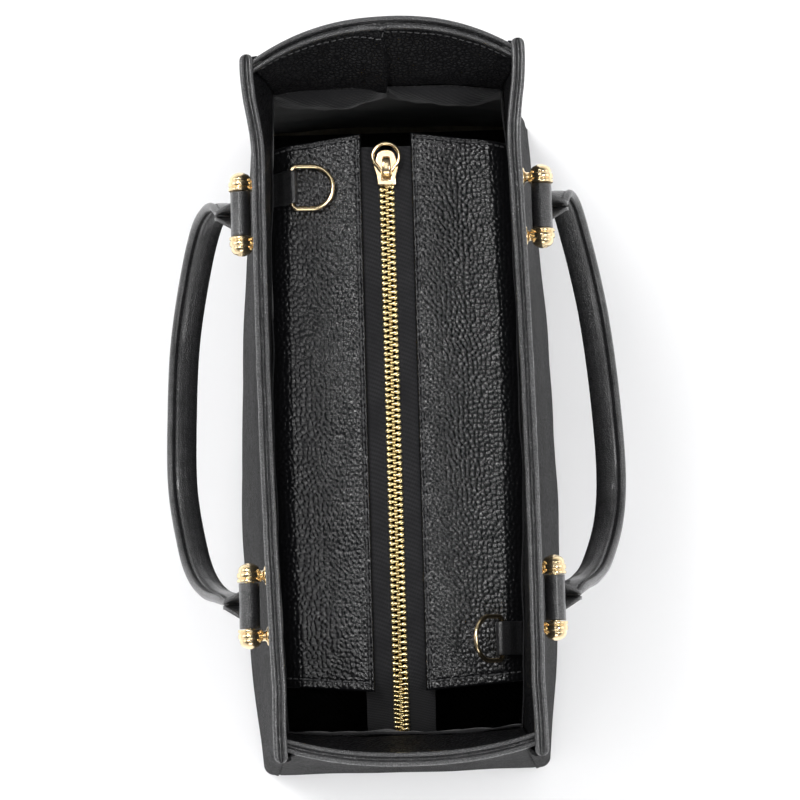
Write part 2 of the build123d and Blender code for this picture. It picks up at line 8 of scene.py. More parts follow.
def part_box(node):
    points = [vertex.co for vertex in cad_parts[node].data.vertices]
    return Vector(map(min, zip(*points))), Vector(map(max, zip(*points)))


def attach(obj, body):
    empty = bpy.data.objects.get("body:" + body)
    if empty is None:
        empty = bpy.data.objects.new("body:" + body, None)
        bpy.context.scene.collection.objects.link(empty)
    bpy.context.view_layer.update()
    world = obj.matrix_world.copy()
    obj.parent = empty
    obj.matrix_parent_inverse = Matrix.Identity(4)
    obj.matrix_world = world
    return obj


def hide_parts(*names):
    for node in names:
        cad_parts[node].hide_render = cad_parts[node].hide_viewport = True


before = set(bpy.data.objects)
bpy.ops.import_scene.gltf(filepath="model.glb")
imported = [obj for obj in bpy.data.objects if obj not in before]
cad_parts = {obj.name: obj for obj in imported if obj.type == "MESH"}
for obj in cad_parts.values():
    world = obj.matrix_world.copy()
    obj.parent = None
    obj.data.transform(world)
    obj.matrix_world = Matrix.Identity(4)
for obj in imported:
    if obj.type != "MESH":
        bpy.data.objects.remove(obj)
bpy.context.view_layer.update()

# A structured black leather tote seen from above: X runs along the bag, Y through its
# depth, Z up. Shapes are worked out in millimetres and written to meshes in metres.

MM = 0.001
TAPE_HALF_THICKNESS = 0.4

# ---- sizes read from the frame, in millimetres ----


def box_mm(node):
    """Lowest and highest corner of a CAD node, in millimetres."""
    low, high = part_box(node)
    return np.array(low) / MM, np.array(high) / MM


RIM_TOP = box_mm("rim_front")[1][2]
BASE_HALF_LENGTH = box_mm("front_panel")[1][0]
RIM_HALF_LENGTH = box_mm("rim_front")[1][0]
FACING_BOTTOM = box_mm("facing_far")[0][2]
PANEL_LOW, PANEL_HIGH = box_mm("zip_panel_back")
PANEL_TOP = PANEL_HIGH[2]
PANEL_HALF_LENGTH = PANEL_HIGH[0]
ZIP_OFFSET = (PANEL_LOW[1] + box_mm("zip_panel_front")[1][1]) / 2
PANEL_EDGE = PANEL_LOW[1] - ZIP_OFFSET
TAPE_HIGH = box_mm("zip_tape_back")[1]
TAPE_START = TAPE_HIGH[0]
ZIP_HEIGHT = TAPE_HIGH[2] - TAPE_HALF_THICKNESS
BAR_X, BAR_Y, BAR_Z = sum(box_mm("handle_bar_back_far")) / 2
LINING_BASE = box_mm("lining_base")[1][2]

# ---- sizes that the boxes don't give ----

# Stations from the base up: half length, half depth at the corners, and how far the walls bulge.
HEIGHTS = (0.0, 60.0, 222.0, 265.0)
HALF_LENGTHS = (BASE_HALF_LENGTH, 178.2, 160.0, RIM_HALF_LENGTH)
HALF_DEPTHS = (80.0, 75.1, 62.0, 63.0)
BULGES = (7.6, 8.6, 3.8, 2.5)
FAR_BULGES = (3.0, 3.0, 3.0, 19.0)
NEAR_BULGES = (0.2, 0.5, 2.0, 8.6)
SMOOTHING = 9.0  # height over which the stations blend
END_POWER = 2.3  # how square the ends are in plan
FAR_LEAN = 2.2  # how far the far end leans out at the rim
CORNER_RADIUS = 6.0
LEAST_RADIUS = 1.2  # of the corners of inner faces
BASE_ROUNDING = 5.0
LEATHER = 1.4  # thickness of the outer skin
FACE_INSET = 4.0  # outer face of the facing and lining
SEAM_DEPTH = 0.7  # of the seams between the gussets and the long panels
SEAM_WIDTH = 1.1
EAR_FLARE = 5.5  # how far the long sides open outwards at the far corners
NEAR_FLARE = 1.2
EAR_REACH = 5.2  # how far the ears stick out past the gussets
RIM_SKEW = 2.4  # how far the soft rim has moved sideways and lengthways at its ends
RIM_TWIST = 2.2
LINING_TUCK = 1.5  # how far the lining reaches up behind the facing
FACING_X = 160.0  # where the end facings meet the long ones
PEBBLE_HEIGHT = 0.55  # of the coarse grain on the zip panels
PEBBLE_SIZE = 2.4
PANEL_THICKNESS = 2.0
PANEL_ROUNDING = 1.1

ENDS = {"far": 1, "near": -1}
SIDES = {"front": -1, "back": 1}


def eased(t):
    """A smooth step from 0 to 1."""
    t = np.clip(t, 0.0, 1.0)
    return t * t * (3 - 2 * t)


def profile(values, z):
    """A station table read at height z, with its corners smoothed."""
    z = np.asarray(z, float)
    return sum(np.interp(z + k * SMOOTHING / 2, HEIGHTS, values) for k in (-2, -1, 0, 1, 2)) / 5


def ridge(distance, width):
    """A rounded ridge, 1 high where distance is 0."""
    return np.exp(-((distance / width) ** 2))


def squared(value, power):
    """A sine or cosine made squarer for a power under 1."""
    return np.sign(value) * np.abs(value) ** power


def turns(count, direction=1):
    """Cosines and sines of evenly spaced angles round a full turn."""
    angles = np.linspace(0, 2 * np.pi, count, endpoint=False) * direction
    return np.cos(angles), np.sin(angles)


def unit(vectors):
    """Vectors brought to length 1."""
    return vectors / np.linalg.norm(vectors, axis=-1)[..., None]


def xyz(x, y, z):
    """Points from coordinates, each an array or one number."""
    return np.stack(np.broadcast_arrays(x, y, z), axis=-1)


def distances_along(line):
    """How far along a line of points each point is."""
    return np.cumsum(np.linalg.norm(np.diff(line, axis=0, prepend=line[:1]), axis=1))


def ripple(a, b, size, seed=0.0):
    """A smooth deterministic unevenness between about -1 and 1, with waves of that size."""
    a, b = np.asarray(a, float) / size, np.asarray(b, float) / size
    return (
        np.sin(2.1 * a + 1.3 * np.sin(1.7 * b + seed) + seed)
        + np.sin(2.9 * b + 1.1 * np.sin(1.3 * a - 2 * seed) + 2.3 * seed)
        + 0.6 * np.sin(4.3 * a - 3.7 * b + 3 * seed)
    ) / 2.6


def base_round(z):
    """How far the wall has curved in near the base."""
    t = np.clip(BASE_ROUNDING - np.asarray(z, float), 0, BASE_ROUNDING)
    return BASE_ROUNDING - np.sqrt(BASE_ROUNDING**2 - t**2)


def flare(x, z):
    """The ears: the long sides open outwards towards their upper corners."""
    far = EAR_FLARE * eased((x - 118) / 48)
    near = NEAR_FLARE * eased((-x - 130) / 35)
    return (far + near) * eased((z - 222) / 43)


def ear(z):
    """How far the long panels' upper corners stick out past the gussets."""
    return EAR_REACH * eased((z - 232) / 30)


def side_y(x, z, inset):
    """Distance of a long side from the middle plane; it is fullest towards the near end."""
    length = profile(HALF_LENGTHS, z)
    bulge = profile(BULGES, z) * (1 - (x / length) ** 2)
    fullness = 2.7 * ridge(x + 70, 85) - 1.2 * eased((x - 40) / 80)
    fullness = fullness * eased((190 - z) / 120)
    return profile(HALF_DEPTHS, z) + bulge + fullness + flare(x, z) - inset - base_round(z)


def end_x(share, z, inset, end, eared=False):
    """Distance of an end from the middle; share is 0 in its middle and 1 at its corners."""
    bulge = profile(FAR_BULGES if end > 0 else NEAR_BULGES, z)
    lean = FAR_LEAN * eased((z - 238) / 27) if end > 0 else 0.0
    corner = 0.0
    if eared:
        lean = lean * np.clip((1 - np.abs(share)) / 0.12, 0, 1)
        corner = ear(z) * np.clip((np.abs(share) - 0.9) / 0.1, 0, 1) ** 1.5
    reach = profile(HALF_LENGTHS, z) + lean + corner
    return reach + bulge * (1 - np.abs(share) ** END_POWER) - inset - base_round(z)


def settle(x, y, z):
    """The small skew that the soft rim has taken on, as an array of points in millimetres."""
    amount = eased((z - 240) / 25)
    along = -(y / 63) * RIM_TWIST * amount * eased(x / 165)
    across = RIM_SKEW * (x / 165) * amount
    return xyz(x + along, y + across, z)


# ---- mesh helpers ----


def link_new(name, data):
    """A new object in the scene."""
    piece = bpy.data.objects.new(name, data)
    bpy.context.scene.collection.objects.link(piece)
    return piece


def make_object(name, points, faces, material):
    """A smooth-shaded mesh object from points in millimetres."""
    mesh = bpy.data.meshes.new(name)
    mesh.from_pydata((np.asarray(points).reshape(-1, 3) * MM).tolist(), [], faces)
    mesh.validate()
    mesh.update()
    mesh.shade_smooth()
    mesh.materials.append(material)
    return link_new(name, mesh)


def stand_in(piece, node, body="root"):
    """Shows a piece in place of a CAD node, riding on the node's body."""
    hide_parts(node)
    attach(piece, body)


def grid_faces(rows, columns, start=0, wrap=False, flip=False):
    """Quads between the rows of a grid of points; wrap joins the last column to the first."""
    across = columns if wrap else columns - 1
    faces = []
    for r in range(rows - 1):
        for c in range(across):
            d = (c + 1) % columns
            quad = (r * columns + c, r * columns + d, (r + 1) * columns + d, (r + 1) * columns + c)
            quad = tuple(start + i for i in quad)
            faces.append(quad[::-1] if flip else quad)
    return faces


def slab(name, outer, inner, material):
    """A closed sheet between two grids of points."""
    rows, columns = outer.shape[:2]
    count = rows * columns
    faces = grid_faces(rows, columns) + grid_faces(rows, columns, count, flip=True)
    edge = list(range(columns))
    edge += [r * columns + columns - 1 for r in range(1, rows)]
    edge += [(rows - 1) * columns + c for c in range(columns - 2, -1, -1)]
    edge += [r * columns for r in range(rows - 2, 0, -1)]
    for a, b in zip(edge, edge[1:] + edge[:1]):
        faces.append((b, a, a + count, b + count))
    points = np.concatenate([outer.reshape(-1, 3), inner.reshape(-1, 3)])
    return make_object(name, points, faces, material)


def skin_faces(rows, columns):
    """Faces of a skin over rings of points, with a cap at both ends."""
    last = (rows - 1) * columns
    caps = [tuple(range(columns))[::-1], tuple(range(last, last + columns))]
    return grid_faces(rows, columns, wrap=True) + caps


def tube(name, rings, material, closed=False):
    """A closed skin over rings of points, capped at both ends unless it closes on itself."""
    rings = np.asarray(rings, float)
    rows, columns = rings.shape[:2]
    if not closed:
        return make_object(name, rings, skin_faces(rows, columns), material)
    faces = grid_faces(rows, columns, wrap=True)
    last = (rows - 1) * columns
    for c in range(columns):
        d = (c + 1) % columns
        faces.append((last + c, last + d, d, c))
    return make_object(name, rings, faces, material)


def path_frames(path, up):
    """Unit tangents, and two unit normals of which the second is nearest to up."""
    tangent = unit(np.gradient(path, axis=0))
    across = unit(np.cross(tangent, np.broadcast_to(np.asarray(up, float), path.shape)))
    return tangent, across, np.cross(across, tangent)


def smooth_path(points, count):
    """A curve through points: each stretch is a Catmull-Rom span, evenly spaced along it."""
    points = np.asarray(points, float)
    padded = np.concatenate([[2 * points[0] - points[1]], points, [2 * points[-1] - points[-2]]])
    spans = []
    for p0, p1, p2, p3 in zip(padded, padded[1:], padded[2:], padded[3:]):
        t = np.linspace(0, 1, 24, endpoint=False)[:, None]
        spans.append(
            0.5 * (2 * p1 + (p2 - p0) * t + (2 * p0 - 5 * p1 + 4 * p2 - p3) * t**2
                   + (3 * p1 - p0 - 3 * p2 + p3) * t**3)
        )
    line = np.concatenate([*spans, points[-1:]])
    return resample(line, count)


def resample(line, count):
    """Evenly spaced points along a line of points."""
    along = distances_along(line[:, :3])
    places = np.linspace(0, along[-1], count)
    return np.stack([np.interp(places, along, line[:, k]) for k in range(line.shape[1])], axis=-1)


def capsule(length, radius):
    """One stitch: rings of points and faces of a short rounded thread lying along X."""
    c, s = turns(6)
    stations = ((-0.5, 0.35), (-0.42, 0.8), (-0.25, 1.0), (0.25, 1.0), (0.42, 0.8), (0.5, 0.35))
    rings = [xyz(x * length, radius * share * c, radius * share * s) for x, share in stations]
    return np.concatenate(rings), skin_faces(len(rings), 6)


def merge(parts):
    """Several (points, faces) as one."""
    points, faces, start = [], [], 0
    for shape, quads in parts:
        points.append(shape)
        faces += [tuple(i + start for i in quad) for quad in quads]
        start += len(shape)
    return np.concatenate(points), faces


def stitch_row(name, line, up, body="root", pitch=3.6, length=2.7, radius=0.4, sink=0.1):
    """Threads laid end to end along a line on a surface whose normal is up."""
    line = np.asarray(line, float)
    up = np.broadcast_to(np.asarray(up, float), line.shape)
    count = max(2, int(distances_along(line)[-1] / pitch))
    path, up = np.split(resample(np.hstack([line, up]), 2 * count + 1), 2, axis=1)
    frames = np.stack(path_frames(path, up), axis=1)
    shape, faces = capsule(length, radius)
    middles = range(1, 2 * count, 2)
    stitches = [(shape @ frames[at] + path[at] - sink * frames[at][2], faces) for at in middles]
    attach(make_object(name, *merge(stitches), THREAD), body)


# ---- materials ----


class Nodes:
    """A material's node tree, with short calls for the nodes that these materials use."""

    def __init__(self, name):
        self.material = bpy.data.materials.new(name)
        self.material.use_nodes = True
        self.tree = self.material.node_tree
        self.shader = self.tree.nodes["Principled BSDF"]
        self.coordinates = self.add("ShaderNodeTexCoord").outputs["Object"]

    def add(self, kind, **settings):
        node = self.tree.nodes.new(kind)
        for key, value in settings.items():
            setattr(node, key, value)
        return node

    def link(self, source, target):
        self.tree.links.new(source, target)

    def pattern(self, kind, size, output, vector=None, inputs=(), **settings):
        """A texture with features of that many millimetres."""
        node = self.add(kind, **settings)
        for key, value in (("Scale", 1000 / size), *inputs):
            node.inputs[key].default_value = value
        self.link(vector or self.coordinates, node.inputs["Vector"])
        return node.outputs[output]

    def noise(self, size, detail=3.0):
        inputs = (("Detail", detail), ("Roughness", 0.55))
        return self.pattern("ShaderNodeTexNoise", size, "Fac", inputs=inputs)

    def cells(self, size, vector):
        return self.pattern("ShaderNodeTexVoronoi", size, "Distance", vector, feature="DISTANCE_TO_EDGE")

    def waves(self, size, direction, distortion=0.0, vector=None):
        bands = size * 20 / math.pi
        inputs = (("Distortion", distortion),)
        return self.pattern("ShaderNodeTexWave", bands, "Fac", vector, inputs, bands_direction=direction)

    def turned(self, angles):
        node = self.add("ShaderNodeMapping")
        node.inputs["Rotation"].default_value = angles
        self.link(self.coordinates, node.inputs["Vector"])
        return node.outputs["Vector"]

    def warped(self, size, amount):
        """Coordinates pushed about by noise, by up to amount millimetres."""
        scale = self.add("ShaderNodeVectorMath", operation="MULTIPLY_ADD")
        self.link(self.pattern("ShaderNodeTexNoise", size, "Color"), scale.inputs[0])
        scale.inputs[1].default_value = (amount * MM,) * 3
        self.link(self.coordinates, scale.inputs[2])
        return scale.outputs["Vector"]

    def range(self, source, low, high, to_low, to_high):
        node = self.add("ShaderNodeMapRange")
        limits = {"From Min": low, "From Max": high, "To Min": to_low, "To Max": to_high}
        for key, value in limits.items():
            node.inputs[key].default_value = value
        self.link(source, node.inputs["Value"])
        return node.outputs["Result"]

    def math(self, operation, a, b):
        node = self.add("ShaderNodeMath", operation=operation)
        for socket, value in zip(node.inputs, (a, b)):
            if isinstance(value, (int, float)):
                socket.default_value = value
            else:
                self.link(value, socket)
        return node.outputs["Value"]

    def blend(self, a, share_a, b, share_b):
        """A weighted sum of two patterns."""
        return self.math("ADD", self.math("MULTIPLY", a, share_a), self.math("MULTIPLY", b, share_b))

    def colour(self, factor, dark, light):
        node = self.add("ShaderNodeMix", data_type="RGBA")
        node.inputs["A"].default_value = (*dark, 1)
        node.inputs["B"].default_value = (*light, 1)
        self.link(factor, node.inputs["Factor"])
        self.link(node.outputs["Result"], self.shader.inputs["Base Color"])

    def roughness(self, factor, low, high):
        self.link(self.range(factor, 0, 1, low, high), self.shader.inputs["Roughness"])

    def bump(self, height, distance, strength=1.0):
        """A layer of relief, distance high in millimetres, over what is there."""
        node = self.add("ShaderNodeBump")
        node.inputs["Distance"].default_value = distance * MM
        node.inputs["Strength"].default_value = strength
        before = self.shader.inputs["Normal"].links
        if before:
            self.link(before[0].from_socket, node.inputs["Normal"])
        self.link(height, node.inputs["Height"])
        self.link(node.outputs["Normal"], self.shader.inputs["Normal"])

    def set(self, **values):
        for key, value in values.items():
            self.shader.inputs[key.replace("_", " ")].default_value = value


def dark_grey(level, blue=None):
    """A grey, or one with a slightly different blue."""
    return (level, level, level if blue is None else blue)


def leather(name, dark, light, cell, relief, gloss, specular, valley=0.1, coat=0.0):
    """Black leather with pebbles of about cell millimetres, fine pores, and slow unevenness; its colour is
    painted darker in the valleys between the pebbles, as painted shade.

    Gloss is the range of roughness, and valley the share of the specular level between pebbles.
    """
    nodes = Nodes(name)
    edges = nodes.cells(cell, nodes.warped(cell * 2.5, cell * 0.7))
    pebble = nodes.range(edges, 0.0, 0.32, 0.0, 1.0)
    pores = nodes.noise(0.28, 2.0)
    patches = nodes.noise(28.0)
    # The colour is darkest at the pebbles' edges, which is painted shade in the valleys between them, mixed
    # with slow patches of tone that vary at random.
    nodes.colour(nodes.blend(pebble, 0.55, patches, 0.45), dark, light)
    nodes.roughness(nodes.noise(6.0, 4.0), *gloss)
    nodes.bump(pebble, relief)
    nodes.bump(pores, relief * 0.35)
    nodes.bump(nodes.noise(9.0), relief * 1.5, 0.5)
    shine = nodes.range(edges, 0.0, 0.13, specular * valley, specular)
    handled = nodes.range(nodes.noise(7.0, 4.0), 0.3, 0.7, 0.75, 1.25)
    nodes.link(nodes.math("MULTIPLY", shine, handled), nodes.shader.inputs["Specular IOR Level"])
    nodes.set(Coat_Weight=coat, Coat_Roughness=0.14)
    return nodes.material


def woven(name, dark, light, pitch, relief, angle=45):
    """Black twill or tape: fine ribs crossed by threads."""
    nodes = Nodes(name)
    rib_way = nodes.turned([math.radians(v) for v in (20, 35, angle)])
    ribs = nodes.waves(pitch, "X", 0.6, rib_way)
    thread_way = nodes.turned([math.radians(v) for v in (-20, 0, angle - 8)])
    threads = nodes.waves(pitch * 0.7, "Y", 0.6, thread_way)
    weave = nodes.blend(ribs, 0.65, threads, 0.35)
    nodes.colour(nodes.math("MULTIPLY", weave, nodes.noise(14.0)), dark, light)
    nodes.roughness(weave, 0.75, 0.95)
    nodes.bump(weave, relief)
    nodes.bump(nodes.noise(5.0), relief * 2)
    nodes.set(Sheen_Weight=0.15, Sheen_Roughness=0.5, Specular_IOR_Level=0.25)
    return nodes.material


def metal(name, dark, light, low, high):
    """Plated metal with faint clouding and hairline wear."""
    nodes = Nodes(name)
    nodes.colour(nodes.noise(3.0, 4.0), dark, light)
    nodes.roughness(nodes.noise(1.2), low, high)
    nodes.bump(nodes.noise(2.0, 2.0), 0.004)
    nodes.set(Metallic=1.0)
    return nodes.material


def thread_material():
    """Black sewing thread with its twist."""
    nodes = Nodes("thread")
    twist = nodes.waves(0.5, "DIAGONAL")
    nodes.colour(twist, dark_grey(0.02, 0.021), dark_grey(0.07, 0.073))
    nodes.roughness(twist, 0.45, 0.7)
    nodes.bump(twist, 0.05)
    return nodes.material


def board_material():
    """Grey-brown bag board with a fibrous face."""
    nodes = Nodes("board")
    nodes.colour(nodes.noise(2.0, 5.0), (0.10, 0.085, 0.06), (0.2, 0.17, 0.12))
    nodes.roughness(nodes.noise(3.0), 0.7, 0.9)
    nodes.bump(nodes.noise(0.6), 0.05)
    return nodes.material


OUTER = leather("outer_leather", dark_grey(0.003, 0.0034), dark_grey(0.016, 0.017),
                cell=2.4, relief=0.6, gloss=(0.6, 0.74), specular=0.3)
# Its base colours are lighter than those of the other black leathers, a painted highlight standing in for
# the bright lines along the rolls.
ROLL = leather("rolled_leather", dark_grey(0.010, 0.011), dark_grey(0.045, 0.047),
               cell=1.2, relief=0.3, gloss=(0.26, 0.36), specular=1.0, valley=0.4, coat=0.7)
INNER = leather("facing_leather", dark_grey(0.002, 0.0024), dark_grey(0.012, 0.013),
                cell=2.2, relief=0.4, gloss=(0.32, 0.44), specular=0.15)
PEBBLED = leather("pebbled_leather", dark_grey(0.002, 0.0024), dark_grey(0.008, 0.009),
                  cell=0.9, relief=0.05, gloss=(0.2, 0.28), specular=0.72, coat=0.2)
HANDLE = leather("handle_leather", dark_grey(0.009, 0.010), dark_grey(0.026, 0.027),
                 cell=1.1, relief=0.1, gloss=(0.26, 0.36), specular=1.0, valley=0.6, coat=0.4)
TWILL = woven("lining_twill", dark_grey(0.004, 0.005), dark_grey(0.018, 0.019), 0.9, 0.16)
TAPE = woven("zip_tape", dark_grey(0.003, 0.004), dark_grey(0.032, 0.034), 0.8, 0.12, angle=30)
GOLD = metal("gold_metal", (0.88, 0.66, 0.36), (0.99, 0.83, 0.56), 0.16, 0.25)
TOOTH_GOLD = metal("tooth_gold", (1.0, 0.76, 0.36), (1.0, 0.88, 0.5), 0.22, 0.32)
STEEL = metal("steel", dark_grey(0.4), dark_grey(0.6), 0.3, 0.45)
THREAD = thread_material()
BOARD = board_material()

# ---- body walls ----

END_COUNT = 41  # points from the middle of an end to its corner
CORNER_COUNT = 7
SIDE_COUNT = 121
LINE_COUNT = 2 * (END_COUNT + CORNER_COUNT) + SIDE_COUNT
WRAP_INDEX = END_COUNT - 2  # where the seam between gusset and long panel lies


def wall_corner(z, inset):
    """Half length of the wall at height z, and the radius of its corners."""
    length = profile(HALF_LENGTHS, z) + ear(z) - inset - base_round(z)
    return length, max(CORNER_RADIUS - inset, LEAST_RADIUS)


def ring_line(z, inset):
    """The plan outline at height z, from the middle of the far end round the back side to the
    middle of the near end."""
    length, radius = wall_corner(z, inset)
    parts = []
    for end in (1, -1):
        corner_x = end * (length - radius)
        depth = side_y(corner_x, z, inset)
        y = np.linspace(0, depth - radius, END_COUNT)
        x = end * end_x(y / (depth - radius), z, inset, end, eared=True)
        turn = np.linspace(0, np.pi / 2, CORNER_COUNT + 2)[1:-1]
        arc_x = corner_x + end * radius * np.cos(turn)
        arc_y = depth - radius + radius * np.sin(turn)
        part = np.column_stack([np.concatenate([x, arc_x]), np.concatenate([y, arc_y])])
        parts.append(part[::end])
    x = np.linspace(length - radius, radius - length, SIDE_COUNT)
    side = np.column_stack([x, side_y(x, z, inset)])
    return np.concatenate([parts[0], side, parts[1]])


def wall_grid(side, heights, inset, seam=0.0, unevenness=0.0, seed=0.0):
    """Points of one long wall and its wrapped corners, from the base up."""
    rows = []
    for z in heights:
        line = ring_line(z, inset)
        if seam:
            steps = distances_along(line)
            seams = (steps[WRAP_INDEX], steps[LINE_COUNT - 1 - WRAP_INDEX])
            dip = seam * sum(ridge(steps - place, SEAM_WIDTH) for place in seams)
            outward = unit(np.column_stack([-np.gradient(line[:, 1]), np.gradient(line[:, 0])]))
            line = line - dip[:, None] * outward
        if unevenness:
            steps = distances_along(line)
            line = line * (1 + unevenness / 80 * ripple(steps, np.full(len(line), z), 34.0, seed)[:, None])
        row = settle(line[:, 0], side * line[:, 1], z)
        rows.append(row[WRAP_INDEX:LINE_COUNT - WRAP_INDEX][::side])
    return np.array(rows)


def wall_heights(bottom, top, step=5.0):
    """Section heights, closer together near the base."""
    low = [bottom + v for v in (0, 0.5, 1.2, 2.2, 3.5)]
    return np.concatenate([low, np.linspace(bottom + 5, top, int((top - bottom) / step))])


def build_outer_walls():
    """The leather skin: two long panels that wrap the corners, and two gussets."""
    heights = wall_heights(0.3, RIM_TOP - 4.0, 3.0)
    for name, side in SIDES.items():
        outer = wall_grid(side, heights, 0.0, seam=SEAM_DEPTH, unevenness=0.5, seed=side + 2.0)
        inner = wall_grid(side, heights, LEATHER)
        stand_in(slab(f"{name}_panel_leather", outer, inner, OUTER), f"{name}_panel")
    for name, end in ENDS.items():
        skins = []
        for inset in (0.0, LEATHER):
            outside = inset == 0
            rows = []
            for z in heights:
                length, radius = wall_corner(z, inset)
                depth = side_y(end * (length - radius), z, inset) - radius
                share = np.linspace(-1, 1, 2 * END_COUNT - 1)[1:-1]
                y = share * depth
                x = end_x(share, z, inset, end, eared=True)
                dip = SEAM_DEPTH * ridge(np.abs(y) - np.abs(y[0]), SEAM_WIDTH) * outside
                crease = 1.6 * ridge(y, 2.5) * eased((z - 205) / 50) * (end > 0)
                fold = 0.5 * ripple(y, z, 30.0, end + 5.0) * outside
                rows.append(settle(end * (x - dip + crease + fold), y, z)[::end])
            skins.append(np.array(rows))
        stand_in(slab(f"gusset_{name}_leather", *skins, OUTER), f"gusset_{name}")


def build_boards():
    """The stiff boards sewn in behind the long panels."""
    heights = wall_heights(2.4, RIM_TOP - 5.0, 6.0)
    gap, thickness = 0.2, 2.0
    for name, side in SIDES.items():
        faces = [side_grid(side, heights, LEATHER + depth, CORNER_RADIUS + 1.0)
                 for depth in (gap, gap + thickness)]
        stand_in(slab(f"{name}_board", *faces, BOARD), f"{name}_stiffener")


def build_base():
    """The base leather, a little puffed, with rounded edges."""
    rows = []
    for inset, z in ((3.0, 2.4), (1.2, 1.6), (1.0, 0.8), (1.6, 0.25), (3.0, 0.0)):
        half = ring_line(6.0, inset)
        other = half[::-1] * (1, -1)
        loop = np.concatenate([half, other[1:-1]])
        rows.append(xyz(loop[:, 0], loop[:, 1], z))
    stand_in(tube("base_leather", rows, OUTER), "base_panel")


RIM_ROLLS = ((0.85, 1.2), (5.0, 1.15))  # each roll's centre and radius, from the outer skin


def rim_profile():
    """Closed section of the turned edge: two rolls with a groove between, as (inset, drop)."""
    points = [(-0.3, 4.4), (-0.35, 2.6)]
    for centre, radius in RIM_ROLLS:
        for angle in np.linspace(180, 0, 9):
            turn = math.radians(angle)
            points.append((centre + radius * math.cos(turn), 1.25 - radius * math.sin(turn)))
        if centre < 2:
            points += [(2.15, 2.5), (2.9, 2.9), (3.75, 2.5)]
    points += [(6.1, 2.8), (6.0, 4.4)]
    return np.array(points)


def build_rims():
    """The turned top edge: long sides that end in rounded ears, and the two gusset rims."""
    section = rim_profile()
    middle = np.array([2.9, 2.2])
    tip = np.array([0.0, 0.3, 0.9, 1.8, 3.0])
    far_tip, near_tip = RIM_HALF_LENGTH + 5.6, -RIM_HALF_LENGTH - 5.2
    tip_length, least_scale = 3.2, 0.004
    straight = np.linspace(near_tip + 5, far_tip - 5, 150)
    stations = np.concatenate([near_tip + tip, straight, far_tip - tip[::-1]])
    for name, side in SIDES.items():
        rings = []
        for x in stations:
            close = min((x - near_tip) / tip_length, (far_tip - x) / tip_length, 1.0)
            scale = math.sqrt(max(1 - (1 - close) ** 2, least_scale))
            shape = middle + (section - middle) * scale
            drop = shape[:, 1] + 0.15 * ripple(x, 0, 13.0, side)
            y = side * side_y(x, RIM_TOP, shape[:, 0] + 0.12 * ripple(x, 7.0, 9.0, side + 1))
            rings.append(settle(x, y, RIM_TOP - drop))
        stand_in(tube(f"rim_{name}_rolls", rings[::-side], ROLL), f"rim_{name}")
    for name, end in ENDS.items():
        depth = side_y(end * RIM_HALF_LENGTH, RIM_TOP, 0) - 4.6
        rings = []
        for share in np.linspace(-1, 1, 121):
            y = share * depth
            pinch = 2.0 * ridge(y, 2.0) * (end > 0) * (section[:, 0] > 2.5)
            sag = 2.6 - 1.4 * (1 - abs(share))
            x = end * end_x(share, RIM_TOP, section[:, 0], end)
            rings.append(settle(x, y, RIM_TOP) - xyz(0, 0, section[:, 1] + sag + pinch))
        stand_in(tube(f"rim_{name}_rolls", rings[::end], ROLL), f"rim_{name}")


# ---- facings and lining ----


def side_grid(side, heights, inset, short, extra=None):
    """Points of one long inner wall, that much short of the corners; extra(x, z) moves it inwards."""
    rows = []
    for z in heights:
        half = profile(HALF_LENGTHS, z) - short
        x = np.linspace(-half, half, 141)
        y = side_y(x, z, inset) - (extra(x, z) if extra else 0)
        rows.append(settle(x, side * y, z)[::-side])
    return np.array(rows)


def end_half_depth(end, z, gap):
    """Half the width between the long facings at an end, less a gap."""
    return profile(HALF_DEPTHS, z) + flare(end * FACING_X, z) - FACE_INSET - gap


def end_grid(end, heights, inset, gap, extra=None):
    """Points of one inner end wall; extra(y, z) moves the wall inwards."""
    rows = []
    for z in heights:
        half = end_half_depth(end, z, gap)
        y = np.linspace(-half, half, 121)
        x = end_x(y / half, z, inset, end) - (extra(y, z) if extra else 0)
        rows.append(settle(end * x, y, z)[::end])
    return np.array(rows)


def build_facings():
    """The leather bands inside the top edge, with a stitch row along the two end ones."""
    side_heights = np.linspace(FACING_BOTTOM, RIM_TOP - 3.6, 30)
    end_heights = np.linspace(FACING_BOTTOM, RIM_TOP - 5.5, 40)
    thickness, gap, stitch_drop = 1.3, 1.4, 9.5
    for name, side in SIDES.items():
        faces = [side_grid(side, side_heights, FACE_INSET + depth, 2.0) for depth in (0.0, thickness)]
        stand_in(slab(f"facing_{name}_leather", *faces, INNER), f"facing_{name}")
    for name, end in ENDS.items():

        def crease(y, z):
            """The centre fold of the far facing, and slight waves."""
            fold = 4.2 * np.exp(-np.maximum(y, 0) / 12) * (y > 0) - 0.8 * ridge(y, 1.2)
            return fold * (end > 0) + 0.5 * ripple(y, z, 14.0, end + 3.0)

        outer = end_grid(end, end_heights, 1.7, gap)
        inner = end_grid(end, end_heights, 1.7 + thickness, gap, crease)
        stand_in(slab(f"facing_{name}_leather", outer, inner, INNER), f"facing_{name}")
        half = end_half_depth(end, RIM_TOP, gap) - 3
        line = []
        for y in np.linspace(-half, half, 90):
            z = RIM_TOP - stitch_drop + 1.4 * (1 - abs(y) / 60)
            x = end_x(y / end_half_depth(end, z, gap), z, 1.7 + thickness, end) - crease(y, z)
            line.append(settle(end * (x - 0.1), y, z))
        stitch_row(f"facing_{name}_stitches", line, (-end, 0, 0.1))


